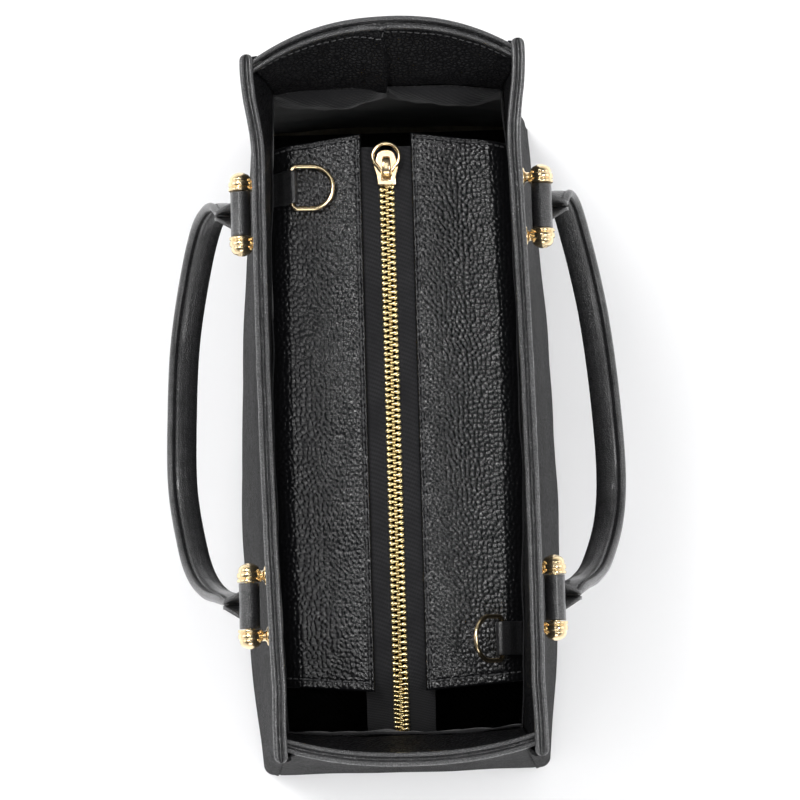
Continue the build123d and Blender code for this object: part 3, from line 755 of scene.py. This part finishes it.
def build_lining():
    """The twill lining: puffed out below the facing, creased lower down."""
    tucked = FACING_BOTTOM + LINING_TUCK
    lower = np.linspace(LINING_BASE + 0.4, 170, 34)
    heights = np.concatenate([lower, np.linspace(172, tucked, 30)])
    thickness, gap = 0.7, 1.6
    for name, side in SIDES.items():

        def puff(x, z):
            """Slack of a long lining."""
            return 0.9 * ripple(x, z, 26.0, side + 4.0) + 1.2

        faces = [side_grid(side, heights, FACE_INSET + depth, 2.4, puff) for depth in (0.5, 0.5 + thickness)]
        piece = slab(f"lining_{name}_twill", *faces, TWILL)
        stand_in(piece, f"lining_{name}")
    for name, end in ENDS.items():
        fullness = 8.0 if end > 0 else 1.5

        def billow(y, z):
            """Two lobes of slack that hang out from under an end facing, and creases."""
            share = np.abs(y) / end_half_depth(end, z, gap)
            lobe = np.clip(1 - (2 * share - 1) ** 2, 0, 1) ** 0.7
            fall = np.clip((tucked - z) / 9, 0, 1) ** 0.6 * eased((z - 165) / 45)
            creases = 1.5 * ripple(y, z, 11.0, end + 7.0) * fall
            return fullness * lobe * fall + creases + 0.8 * ripple(y, z, 24.0, end + 1.0)

        faces = [end_grid(end, heights, inset, gap, billow) for inset in (3.4, 3.4 + thickness)]
        piece = slab(f"lining_{name}_twill", *faces, TWILL)
        stand_in(piece, f"lining_{name}")
    low, high = box_mm("lining_base")
    x = np.linspace(low[0] + 4, high[0] - 4, 140)
    depths = np.linspace(low[1] + 5, high[1] - 5, 60)
    top = np.array([xyz(x, y, high[2] + 0.3 + 0.5 * ripple(x, y, 28.0, 9.0)) for y in depths])
    piece = slab("lining_base_twill", top, top - (0, 0, thickness), TWILL)
    stand_in(piece, "lining_base")


# ---- zip closure ----


def pebbles(x, y, cell):
    """Height of leather pebbles at points, 0 in the valleys to 1 on the crowns."""
    x, y = x / cell, y / cell
    column, row = np.floor(x), np.floor(y)
    nearest = np.full(x.shape, 9.0)
    second = np.full(x.shape, 9.0)
    for dx in (-1, 0, 1):
        for dy in (-1, 0, 1):
            seed_x = np.sin((column + dx) * 127.1 + (row + dy) * 311.7) * 43758.5453
            seed_y = np.sin((column + dx) * 269.5 + (row + dy) * 183.3) * 24634.6345
            px = column + dx + 0.5 + 0.42 * (2 * (seed_x - np.floor(seed_x)) - 1)
            py = row + dy + 0.5 + 0.42 * (2 * (seed_y - np.floor(seed_y)) - 1)
            distance = np.hypot(x - px, y - py)
            second = np.minimum(second, np.maximum(nearest, distance))
            nearest = np.minimum(nearest, distance)
    return 1 - (nearest / second) ** 2


def panel_ends(share):
    """Far and near end of a zip panel; share is 0 at the zip and 1 at the wall."""
    return PANEL_HALF_LENGTH + 1.0 - 6.0 * share, -PANEL_HALF_LENGTH + 3.5 * share


def panel_y(side, x, share):
    """Where a zip panel is at that share of the way from the zip to the wall."""
    edge = ZIP_OFFSET + side * PANEL_EDGE
    wall = side_y(x, PANEL_TOP, FACE_INSET + 2.0) * side
    return edge + share * (wall - edge)


def panel_place(side, x, y):
    """Share of the way from the zip to the wall, and distance inside the nearest cut edge."""
    edge, wall = panel_y(side, x, 0), panel_y(side, x, 1)
    share = (y - edge) / (wall - edge)
    far, near = panel_ends(share)
    return share, np.minimum(np.minimum(np.abs(y - edge), far - x), x - near)


def panel_height(side, x, y):
    """The zip panel's top surface without its pebbles."""
    share, inside = panel_place(side, x, y)
    crown = np.sin(np.pi * np.clip(share, 0, 1))
    far = panel_ends(share)[0]
    lift = 0.9 * ripple(x, y, 42.0, side + 2.0) * crown
    droop = -2.2 * crown**2
    curl = 0.9 * eased((x - far + 14) / 14) * crown
    near_edge = np.clip(PANEL_ROUNDING - inside, 0, PANEL_ROUNDING)
    rounding = PANEL_ROUNDING - np.sqrt(np.clip(PANEL_ROUNDING**2 - near_edge**2, 0, None))
    turn = 6.5 * np.clip(1 - np.abs(panel_y(side, x, 1) - y) / 10.0, 0, 1) ** 1.5
    return PANEL_TOP + lift + droop + curl - rounding - turn


SIDE_SEAM = 2.4  # from the stitch rows to the panel's edges
END_SEAMS = {"far": 2.2, "near": 4.5}
GROOVE = 0.6
GROOVE_WIDTH = 0.7


def build_zip_panels():
    """The recessed leather panels, with pebbles, grooves and stitch rows."""
    step = 0.42
    along = int(2 * PANEL_HALF_LENGTH / step)
    for name, side in SIDES.items():
        edge = panel_y(side, 0.0, 0)
        count = int(abs(panel_y(side, 0.0, 1) - edge) / step)
        top, bottom = [], []
        for share in np.linspace(0, 1, count):
            far, near = panel_ends(share)
            x = np.linspace(near, far, along)
            y = panel_y(side, x, share)
            smooth = panel_height(side, x, y)
            inside = panel_place(side, x, y)[1]
            relief = PEBBLE_HEIGHT * pebbles(x + 40 * side, y, PEBBLE_SIZE) + 0.05 * pebbles(x, y + 9, 0.8)
            from_end = np.minimum(far - x - END_SEAMS["far"], x - near - END_SEAMS["near"])
            grooves = ridge(np.abs(y - edge) - SIDE_SEAM, GROOVE_WIDTH) + ridge(from_end, GROOVE_WIDTH)
            top.append(xyz(x, y, smooth + (relief - GROOVE * grooves) * eased(inside / 0.8)))
            bottom.append(xyz(x, y, smooth - PANEL_THICKNESS))
        panel = slab(f"zip_panel_{name}_leather", np.array(top)[::side], np.array(bottom)[::side], PEBBLED)
        stand_in(panel, f"zip_panel_{name}")

        x = np.linspace(-PANEL_HALF_LENGTH + 3, PANEL_HALF_LENGTH - 1.5, 160)
        rows = {"edge": (x, edge + side * SIDE_SEAM)}
        share = np.linspace(0.04, 0.98, 40)
        for number, (end_name, inset) in enumerate(END_SEAMS.items()):
            x = panel_ends(share)[number] - ENDS[end_name] * inset
            rows[end_name] = (x, panel_y(side, x, share))
        for row, (x, y) in rows.items():
            line = xyz(x, y, panel_height(side, x, y))
            stitch_row(f"zip_panel_{name}_{row}_stitches", line, (0, 0, 1), radius=0.5)


CHAIN_START = 115.5
TOOTH_PITCH = 2.95
TOOTH_COUNT = 97
BEND_START = -126.5  # where the chain turns down at the near end
BEND_RADIUS = 16.0
BEND_ANGLE = math.radians(42)


def chain_point(distance):
    """A point of the chain that far from its first tooth: x, z and slope."""
    level = CHAIN_START - BEND_START
    if distance <= level:
        return CHAIN_START - distance, ZIP_HEIGHT, 0.0
    turned = min((distance - level) / BEND_RADIUS, BEND_ANGLE)
    rest = distance - level - BEND_RADIUS * turned
    x = BEND_START - BEND_RADIUS * math.sin(turned) - rest * math.cos(turned)
    z = ZIP_HEIGHT - BEND_RADIUS * (1 - math.cos(turned)) - rest * math.sin(turned)
    return x, z, turned


TOOTH_SHAPE = (  # distance past the middle, half width along the chain, half height
    (4.02, 0.15, 0.4), (3.97, 0.65, 0.95), (3.75, 0.98, 1.3), (3.3, 1.17, 1.5), (2.6, 1.2, 1.55),
    (1.9, 1.08, 1.5), (1.35, 0.8, 1.4), (0.8, 0.55, 1.25), (0.3, 0.52, 1.2), (-0.2, 0.62, 1.25),
    (-0.6, 0.6, 1.15), (-0.88, 0.4, 0.8), (-0.97, 0.1, 0.3),
)
TOOTH_SQUARENESS = 0.65


def build_teeth():
    """Cast teeth: a bulb that grips the tape and a head that reaches past the middle."""
    for name, side in SIDES.items():
        c, s = (squared(v, TOOTH_SQUARENESS) for v in turns(12, direction=side))
        rings = [xyz(wide * c, side * reach, high * s) for reach, wide, high in TOOTH_SHAPE]
        points, faces = np.concatenate(rings), skin_faces(len(rings), 12)
        chain = []
        first = TOOTH_PITCH / 2 if side > 0 else 0.0
        for number in range(TOOTH_COUNT):
            x, z, slope = chain_point(first + number * TOOTH_PITCH)
            c, s = math.cos(slope), math.sin(slope)
            tilt = np.array([[c, 0, -s], [0, 1, 0], [s, 0, c]])
            chain.append((points @ tilt.T + (x, ZIP_OFFSET, z), faces))
        teeth = make_object(f"zip_teeth_{name}_cast", *merge(chain), TOOTH_GOLD)
        stand_in(teeth, f"zip_teeth_{name}")


def build_tapes():
    """Woven tapes with a slightly rolled inner edge, following the chain down at the near end."""
    last = TOOTH_COUNT * TOOTH_PITCH + 2.0
    level = np.linspace(CHAIN_START - TAPE_START, 230, 120)
    distances = np.concatenate([level, np.linspace(232, last, 46)])
    inner_edge, outer_edge, covered = 3.2, 17.0, 12.7
    across = np.linspace(inner_edge, outer_edge, 28)
    sag = 0.35 * np.sin(np.pi * (across - inner_edge) / (covered - inner_edge)) * (across < covered)
    for name, side in SIDES.items():
        faces = {TAPE_HALF_THICKNESS: [], -TAPE_HALF_THICKNESS: []}
        for distance in distances:
            x, z, slope = chain_point(distance)
            wave = 0.12 * ripple(x, across, 11.0, side)
            up = np.array([-math.sin(slope), 0, math.cos(slope)])
            for offset, rows in faces.items():
                rows.append(xyz(x, ZIP_OFFSET + side * across, z) + (wave - sag + offset)[:, None] * up)
        top, bottom = (np.array(rows)[::-1, ::-side] for rows in faces.values())
        stand_in(slab(f"zip_tape_{name}_woven", top, bottom, TAPE), f"zip_tape_{name}")


def plate(name, outlines, bottom, top, rounding):
    """A gold plate with rounded edges, between two heights from the middle of the zip's thickness;
    the outlines after the first one are holes."""
    curve = bpy.data.curves.new(name, "CURVE")
    curve.dimensions = "2D"
    curve.fill_mode = "BOTH"
    curve.extrude = ((top - bottom) / 2 - rounding) * MM
    curve.bevel_depth = rounding * MM
    curve.bevel_resolution = 3
    curve.offset = -rounding * MM
    for outline in outlines:
        spline = curve.splines.new("POLY")
        spline.points.add(len(outline) - 1)
        for point, (x, y) in zip(spline.points, outline):
            point.co = (x * MM, y * MM, 0, 1)
        spline.use_cyclic_u = True
    holder = link_new(name, curve)
    bpy.context.view_layer.update()
    mesh = bpy.data.meshes.new_from_object(holder)
    bpy.data.objects.remove(holder)
    middle = ZIP_HEIGHT + (bottom + top) / 2
    points = np.array([v.co[:] for v in mesh.vertices]) / MM + (0, 0, middle)
    faces = [tuple(face.vertices) for face in mesh.polygons]
    bpy.data.meshes.remove(mesh)
    return make_object(name, points, faces, GOLD)


def build_slider():
    """Two tapering plates with turned-in flanges, and an arched bail."""
    low, high = box_mm("zip_slider")
    rear, nose = low[0], high[0]
    shoulder = (high[1] - low[1]) / 2
    half_rear, half_nose, top, flange = 4.75, 4.9, 3.3, 1.8
    middle = (0, ZIP_OFFSET)
    half = [(rear, half_rear), (rear + 4.0, half_rear + 0.05), (nose - 9.0, shoulder - 0.1),
            (nose - 8.0, shoulder), (nose - 7.0, shoulder - 0.1), (nose - 6.2, shoulder - 0.5),
            (nose - 4.4, half_nose + 0.1)]
    half += [(nose - 4.2 + 4.2 * math.sin(math.radians(a)), half_nose * math.cos(math.radians(a)) ** 0.8)
             for a in range(10, 90, 10)]
    outline = np.array(half + [(nose, 0)] + [(x, -y) for x, y in half[::-1]]) + middle
    window = np.array([(rear + x, y) for x, y in ((2.6, -2.2), (5.4, -2.2), (5.4, 2.2), (2.6, 2.2))])
    upper = plate("slider_upper_plate", [outline, window + middle], flange, top, 0.55)
    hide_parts("zip_slider")
    lower = plate("slider_lower_plate", [outline], -top, -flange, 0.45)
    rails = []
    strip = np.array([(rear + 0.2, 4.1), (nose - 4.8, 4.1), (nose - 4.8, half_nose),
                      (nose - 6.2, shoulder - 0.7), (nose - 9.0, shoulder - 0.3),
                      (rear + 4.0, half_rear - 0.1), (rear + 0.2, half_rear - 0.1)])
    for name, side in SIDES.items():
        for bottom, ceiling in ((0.85, 2.2), (-2.2, -0.85)):
            rail_name = f"slider_rail_{name}_{len(rails)}"
            rails.append(plate(rail_name, [strip * (1, side) + middle], bottom, ceiling, 0.2))

    rings = []
    c, s = turns(20)
    bail_x, bail_half_length, bail_rise, sunk = 122.4, 4.4, 3.3, 0.3
    for turn in np.linspace(0, math.pi, 19):
        x = bail_x - bail_half_length * math.cos(turn)
        z = ZIP_HEIGHT + top - sunk + bail_rise * math.sin(turn) ** 0.7
        out = unit(np.array([-math.cos(turn), 0, math.sin(turn) + 0.2]))
        across = (2.3 - 0.35 * abs(math.cos(turn))) * squared(c, 0.5)
        rings.append(xyz(x, ZIP_OFFSET + across, z) + (0.7 * squared(s, 0.6))[:, None] * out)
    bail = tube("slider_bail", rings, GOLD)
    for piece in (upper, lower, *rails, bail):
        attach(piece, "zip_slider")


def build_pull():
    """The pull ring: a wire ring with shoulders and a straight stretch on the bail."""
    low, high = box_mm("zip_pull")
    hinge_x, height = 120.2, (low[2] + high[2]) / 2
    centre, radius = high[0] - 7.5, 6.6
    turn = np.radians(range(-140, 141, 20))
    bow = np.column_stack([centre + radius * np.cos(turn), radius * np.sin(turn)])
    start, end = ([(hinge_x, -2.9), (hinge_x + 1.6, -4.0)], [(hinge_x + 1.6, 4.0), (hinge_x, 2.9)])
    curve = np.concatenate([start, bow, end])
    path = smooth_path(xyz(curve[:, 0], curve[:, 1] + ZIP_OFFSET, height), 90)
    path = np.concatenate([path, xyz(hinge_x, ZIP_OFFSET + np.linspace(2.6, -2.6, 9), height)])
    tangent = unit(np.roll(path, -1, axis=0) - np.roll(path, 1, axis=0))
    c, s = turns(12)
    rings = []
    for point, across in zip(path, np.cross(tangent, (0, 0, 1.0))):
        wide = 0.95 if point[0] > hinge_x + 2.5 else 0.8
        rings.append(point + wide * c[:, None] * across + xyz(0, 0, 0.8 * s))
    stand_in(tube("pull_ring", rings, GOLD, closed=True), "zip_pull", "zip_pull")


# ---- handles ----

DROP_ANGLE = math.radians(70)  # how far the hanging handles point down
BAND_WIDTH = 16.0
PATH_COUNT = 150
# Centre line of each handle as it hangs: distance along X, distance out from the bars.
HANDLE_LINES = {
    "back": (
        (97.5, 17.0), (104.0, 30.0), (104.5, 45.0), (98.0, 63.0), (78.0, 84.0), (45.0, 106.0), (8.0, 115.0),
        (-30.0, 116.5), (-62.0, 100.0), (-78.0, 83.0), (-87.0, 60.0), (-90.5, 36.0), (-94.0, 17.0),
    ),
    "front": (
        (98.0, 17.0), (105.5, 28.0), (102.0, 42.0), (88.0, 57.0), (68.0, 74.0), (46.0, 88.0), (12.0, 101.0),
        (-27.0, 108.0), (-54.0, 100.0), (-76.0, 76.0), (-85.0, 54.0), (-89.0, 34.0), (-94.0, 17.0),
    ),
}


def handle_point(side, x, out, normal):
    """A point of a handle's own frame: along the bar, out from it, and across its plane."""
    cosine, sine = math.cos(DROP_ANGLE), math.sin(DROP_ANGLE)
    y = BAR_Y + out * cosine + normal * sine
    z = BAR_Z - out * sine + normal * cosine
    return xyz(x, side * y, z)


def band_section():
    """Closed section of the band as (thickness way, width way): padded, with a rolled outer edge."""
    widths = np.array([-8.0, -7.7, -6.8, -5.0, -2.0, 1.0, 2.8, 3.7, 4.5, 5.8, 6.9, 7.7, 8.0])
    halves = np.array([0.0, 0.9, 1.7, 2.2, 2.5, 2.35, 2.0, 1.45, 2.0, 2.35, 2.0, 1.1, 0.0])
    places = np.linspace(0, 12, 49)
    smooth_w = np.interp(places, np.arange(13), widths)
    smooth_h = np.interp(places, np.arange(13), halves)
    upper = np.column_stack([smooth_h, smooth_w])
    return np.concatenate([upper, upper[-2:0:-1] * (-1, 1)])


def build_handle(name, side):
    """The padded band of one handle, its two stitch rows and its ends."""
    body = f"handle_{name}"
    section = band_section()
    flat = smooth_path(HANDLE_LINES[name], PATH_COUNT)
    rings = []
    edge_lines = {"in": [], "out": []}
    for number, ((x, out), (tx, tout)) in enumerate(zip(flat, unit(np.gradient(flat, axis=0)))):
        thin = 0.55 + 0.45 * eased(min(number, PATH_COUNT - 1 - number) / 9)
        thick, wide = section[:, 0] * thin, section[:, 1]
        rings.append(handle_point(side, x - tout * thick, out + tx * thick, wide))
        for way, line in zip((1.5, -1.5), edge_lines.values()):
            line.append(handle_point(side, x - tout * way, out + tx * way, 3.7))
    band = tube(f"{body}_band", rings[::side], HANDLE)
    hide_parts(f"{body}_strap", f"{body}_core")
    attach(band, body)
    plane_normal = np.array([0, side * math.sin(DROP_ANGLE), math.cos(DROP_ANGLE)])
    for way, (row, line) in zip((1, -1), edge_lines.items()):
        flat_line = np.array(line)[6:-6]
        # the surface's normal here points across the path, in the handle's plane
        up = np.cross(plane_normal, np.gradient(flat_line, axis=0)) * way * side
        stitch_row(f"{body}_stitches_{row}", flat_line, up, body, pitch=3.4, length=2.5, radius=0.38)
    for (end_name, end), start in zip(ENDS.items(), (flat[0], flat[-1])):
        build_handle_end(body, side, end_name, end * BAR_X, start)


def build_handle_end(body, side, end_name, bar_x, band_start):
    """The strap opens from its pinch into a scoop and wraps round the bar."""
    half_loop, wrap_radius, wall, pinched, lip = 11.0, 4.0, 0.85, 1.5, 0.5
    across = np.linspace(-1, 1, 33)
    outer, inner = [], []
    # the end of the strap: from the outside of the bar, over its top, to the panel side
    for angle in np.linspace(-38, 180, 26):
        turn = math.radians(angle)
        for radius, rows in ((wrap_radius + wall, outer), (wrap_radius - wall, inner)):
            flared = radius + lip * eased((-angle - 5) / 33)
            out, normal = -flared * math.sin(turn), flared * math.cos(turn)
            rows.append(handle_point(side, bar_x + half_loop * across, out, normal))
    # the scoop: flat behind the bar, its sides folding up until they meet at the pinch
    folded_x = np.sign(across) * pinched * np.minimum(1, np.abs(across) * 5) ** 0.5
    folded_n = -BAND_WIDTH / 2 + BAND_WIDTH * np.abs(across)
    for step in np.linspace(0.06, 1, 22):
        out = 0.5 + step * (band_start[1] + 1.5)
        fold = eased((step - 0.12) / 0.8)
        centre = bar_x + (band_start[0] - bar_x) * step
        x = (1 - fold) * half_loop * across + fold * folded_x
        n = -(1 - fold) * wrap_radius + fold * folded_n
        dx, dn = np.gradient(x), np.gradient(n)
        size = np.hypot(dx, dn)
        shift_x, shift_n = -dn / size * wall, dx / size * wall
        outer.append(handle_point(side, centre + x - shift_x, out, n - shift_n))
        inner.append(handle_point(side, centre + x + shift_x, out, n + shift_n))
    scoop = slab(f"{body}_end_{end_name}", np.array(outer)[:, ::side], np.array(inner)[:, ::side], HANDLE)
    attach(scoop, body)


def lathe(name, outline, centre, direction):
    """A turned gold piece: (distance along the axis, radius) round an axis parallel to X."""
    c, s = turns(40, direction=direction)
    rings = [xyz(centre[0] + direction * along, centre[1] + radius * c, centre[2] + radius * s)
             for along, radius in outline]
    return tube(name, rings, GOLD)


def cap_outline():
    """A turned end cap: a flange, a band and a dome, with grooves between."""
    points = [(11.4, 0.6), (11.4, 5.5), (11.5, 5.85), (11.8, 6.0), (12.4, 6.0), (12.75, 5.85),
              (12.9, 5.5), (13.0, 5.3), (13.2, 5.25), (13.4, 5.35), (13.55, 5.7), (13.9, 5.95),
              (15.2, 5.95), (15.7, 5.8), (15.95, 5.4), (16.1, 5.1), (16.3, 5.05), (16.5, 5.2)]
    for turn in np.radians(np.linspace(8, 78, 12)):
        points.append((16.4 + 3.6 * math.sin(turn), 2.2 + 3.1 * math.cos(turn)))
    return points + [(20.2, 2.4), (20.45, 1.9), (20.6, 1.2), (20.7, 0.2)]


# Each stud as (distance from the panel, radius).
STUD_OUTLINE = ((0, 4.3), (0.2, 4.6), (0.8, 4.6), (1.1, 4.2), (1.5, 2.9), (2.2, 2.4), (5.0, 2.4))
STUD_SPREAD = 14.6


def build_mounts():
    """The end caps of each handle bar, with the studs that hold them to the panel."""
    for side_name, side in SIDES.items():
        c, s = turns(32, direction=-side)
        for end_name, end in ENDS.items():
            node = f"handle_mount_{side_name}_{end_name}"
            centre = (end * BAR_X, side * BAR_Y, BAR_Z)
            for number, direction in enumerate((-1, 1)):
                cap = lathe(f"{node}_cap_{number}", cap_outline(), centre, direction)
                if number == 0:
                    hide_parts(node)
                x = centre[0] + direction * STUD_SPREAD
                foot = side_y(x, BAR_Z, 0) + 0.1
                rings = [xyz(x + radius * c, side * (foot + out), BAR_Z + radius * s)
                         for out, radius in STUD_OUTLINE]
                stud = tube(f"{node}_stud_{number}", rings, GOLD)
                for piece in (cap, stud):
                    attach(piece, "root")


# ---- D-ring tabs ----


def build_ring_tabs():
    """Leather loops that hold the D-rings to the zip panels, sewn down with a stitch row."""
    bend, loop_radius, half_strap, skin = 3.0, 2.4, 0.75, 0.6
    for name in ENDS:
        low, high = box_mm(f"d_ring_tab_{name}")
        side = 1 if low[1] > 0 else -1
        bar_y = low[1] + bend if side > 0 else high[1] - bend
        bar_z = high[2] - bend
        across = np.linspace(low[0], high[0], 25)
        below = np.linspace(10, 1.5, 10)
        above = np.linspace(2.5, 10, 10)
        rise = half_strap + 1.3 + 2.6 * eased(1 - (above - 2.5) / 5)
        turn = np.radians(np.linspace(-80, 78, 18))
        wrap_y, wrap_z = side * loop_radius * np.cos(turn), loop_radius * np.sin(turn)
        wrap = np.column_stack([bar_y - wrap_y, bar_z + wrap_z])
        outer, inner = [], []
        for x in across:
            lower_y, upper_y = bar_y + side * below, bar_y + side * above
            lower = np.column_stack([lower_y, panel_height(side, x, lower_y) + half_strap])
            upper_z = np.minimum(panel_height(side, x, upper_y) + rise, bar_z + loop_radius)
            line = resample(np.concatenate([lower, wrap, np.column_stack([upper_y, upper_z])]), 44)
            step = unit(np.gradient(line, axis=0))
            normal = np.column_stack([step[:, 1], -step[:, 0]]) * -side
            edge = 1 - 0.35 * max(0.0, abs(x - across.mean()) / 8.25 - 0.86) / 0.14
            for offset, columns in ((skin, outer), (-skin, inner)):
                y, z = (line + normal * offset * edge).T
                columns.append(xyz(x, y, z))
        tab = slab(f"d_ring_tab_{name}_leather", np.array(outer)[::-side], np.array(inner)[::-side], HANDLE)
        stand_in(tab, f"d_ring_tab_{name}")
        y = bar_y + side * 5.0
        seam = [(x, y, panel_height(side, x, y) + 3.6) for x in across[2:-2]]
        stitch_row(f"d_ring_tab_{name}_stitches", seam, (0, 0, 1), length=2.2, pitch=3.0)


# ---- carried-over CAD pieces ----


def paint_nodes():
    """Materials for the CAD pieces whose shape is already right."""
    kinds = {"base_board": BOARD, "d_ring_far": GOLD, "d_ring_near": GOLD, "handle_bar": GOLD,
             "screws": STEEL, "washers": STEEL, "zip_stops": TOOTH_GOLD}
    for name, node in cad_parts.items():
        for key, material in kinds.items():
            if key in name and "tab" not in name:
                node.data.materials.clear()
                node.data.materials.append(material)


# ---- stage ----


def build_floor():
    """A pale floor just under the bag."""
    nodes = Nodes("floor")
    nodes.colour(nodes.noise(300.0), (0.86, 0.86, 0.87), (0.9, 0.9, 0.91))
    nodes.roughness(nodes.noise(60.0), 0.75, 0.85)
    half, depth = 8, -0.0002
    corners = [(x * half, y * half, depth) for x, y in ((-1, -1), (1, -1), (1, 1), (-1, 1))]
    mesh = bpy.data.meshes.new("floor")
    mesh.from_pydata(corners, [], [(0, 1, 2, 3)])
    mesh.materials.append(nodes.material)
    link_new("floor", mesh)


def build_world():
    """Bright round the horizon and dark overhead, as in a white room with a dark ceiling."""
    world = bpy.data.worlds.new("studio")
    world.use_nodes = True
    tree = world.node_tree
    split = tree.nodes.new("ShaderNodeSeparateXYZ")
    tree.links.new(tree.nodes.new("ShaderNodeTexCoord").outputs["Generated"], split.inputs["Vector"])
    fade = tree.nodes.new("ShaderNodeMapRange")
    fade.interpolation_type = "SMOOTHSTEP"
    for key, value in (("From Min", 0.2), ("From Max", 0.6), ("To Min", 0.95), ("To Max", 0.13)):
        fade.inputs[key].default_value = value
    tree.links.new(split.outputs["Z"], fade.inputs["Value"])
    background = tree.nodes["Background"]
    background.inputs["Color"].default_value = (1, 1, 1, 1)
    tree.links.new(fade.outputs["Result"], background.inputs["Strength"])
    bpy.context.scene.world = world


def softbox(name, place, size, power, target=(0, 0, 0.15)):
    """A rectangular lamp that faces its target, in metres and watts."""
    data = bpy.data.lights.new(name, "AREA")
    data.shape = "RECTANGLE"
    data.size, data.size_y = size
    data.energy = power
    light = link_new(name, data)
    light.location = place
    light.rotation_euler = (Vector(target) - Vector(place)).to_track_quat("-Z", "Y").to_euler()
    return light


def build_lights():
    """Soft lamps round the bag and above it."""
    softbox("key", (0.75, 0.75, 1.95), (0.7, 0.6), 20)
    softbox("fill", (-0.2, -0.85, 1.9), (0.6, 0.5), 9)
    softbox("near", (-1.5, 0.0, 1.3), (1.0, 0.7), 7)
    softbox("left", (0.4, 1.7, 1.2), (1.2, 1.0), 6)
    softbox("right", (0.1, -1.7, 1.2), (1.2, 1.0), 5)
    softbox("top", (0.35, 0.02, 2.2), (1.3, 0.22), 2.4, target=(0.35, 0.02, 0))
    overhead = softbox("overhead", (0, 0, 3.6), (14.0, 14.0), 440, target=(0, 0, 0))
    overhead.visible_glossy = False


def build_camera():
    """The camera, above the near end of the bag and turned slightly about its view."""
    height, back, across = 1.300, 0.133, -0.0016
    roll = math.radians(1.6)
    data = bpy.data.cameras.new("camera")
    data.lens = 124.1
    data.sensor_width = 36.0
    camera = link_new("camera", data)
    forward = Vector((back - 0.001, 0, -height)).normalized()
    right = forward.cross(Vector((math.cos(roll), -math.sin(roll), 0))).normalized()
    basis = Matrix((right, right.cross(forward), -forward)).transposed().to_4x4()
    camera.matrix_world = Matrix.Translation((-back, across, RIM_TOP * MM + height)) @ basis
    bpy.context.scene.camera = camera
    bpy.context.scene.view_settings.view_transform = "Standard"


build_floor()
build_world()
build_lights()
build_camera()
build_outer_walls()
build_boards()
build_base()
build_rims()
build_facings()
build_lining()
build_zip_panels()
build_tapes()
build_teeth()
build_slider()
build_pull()
for handle_name, handle_side in SIDES.items():
    build_handle(handle_name, handle_side)
build_mounts()
build_ring_tabs()
paint_nodes()
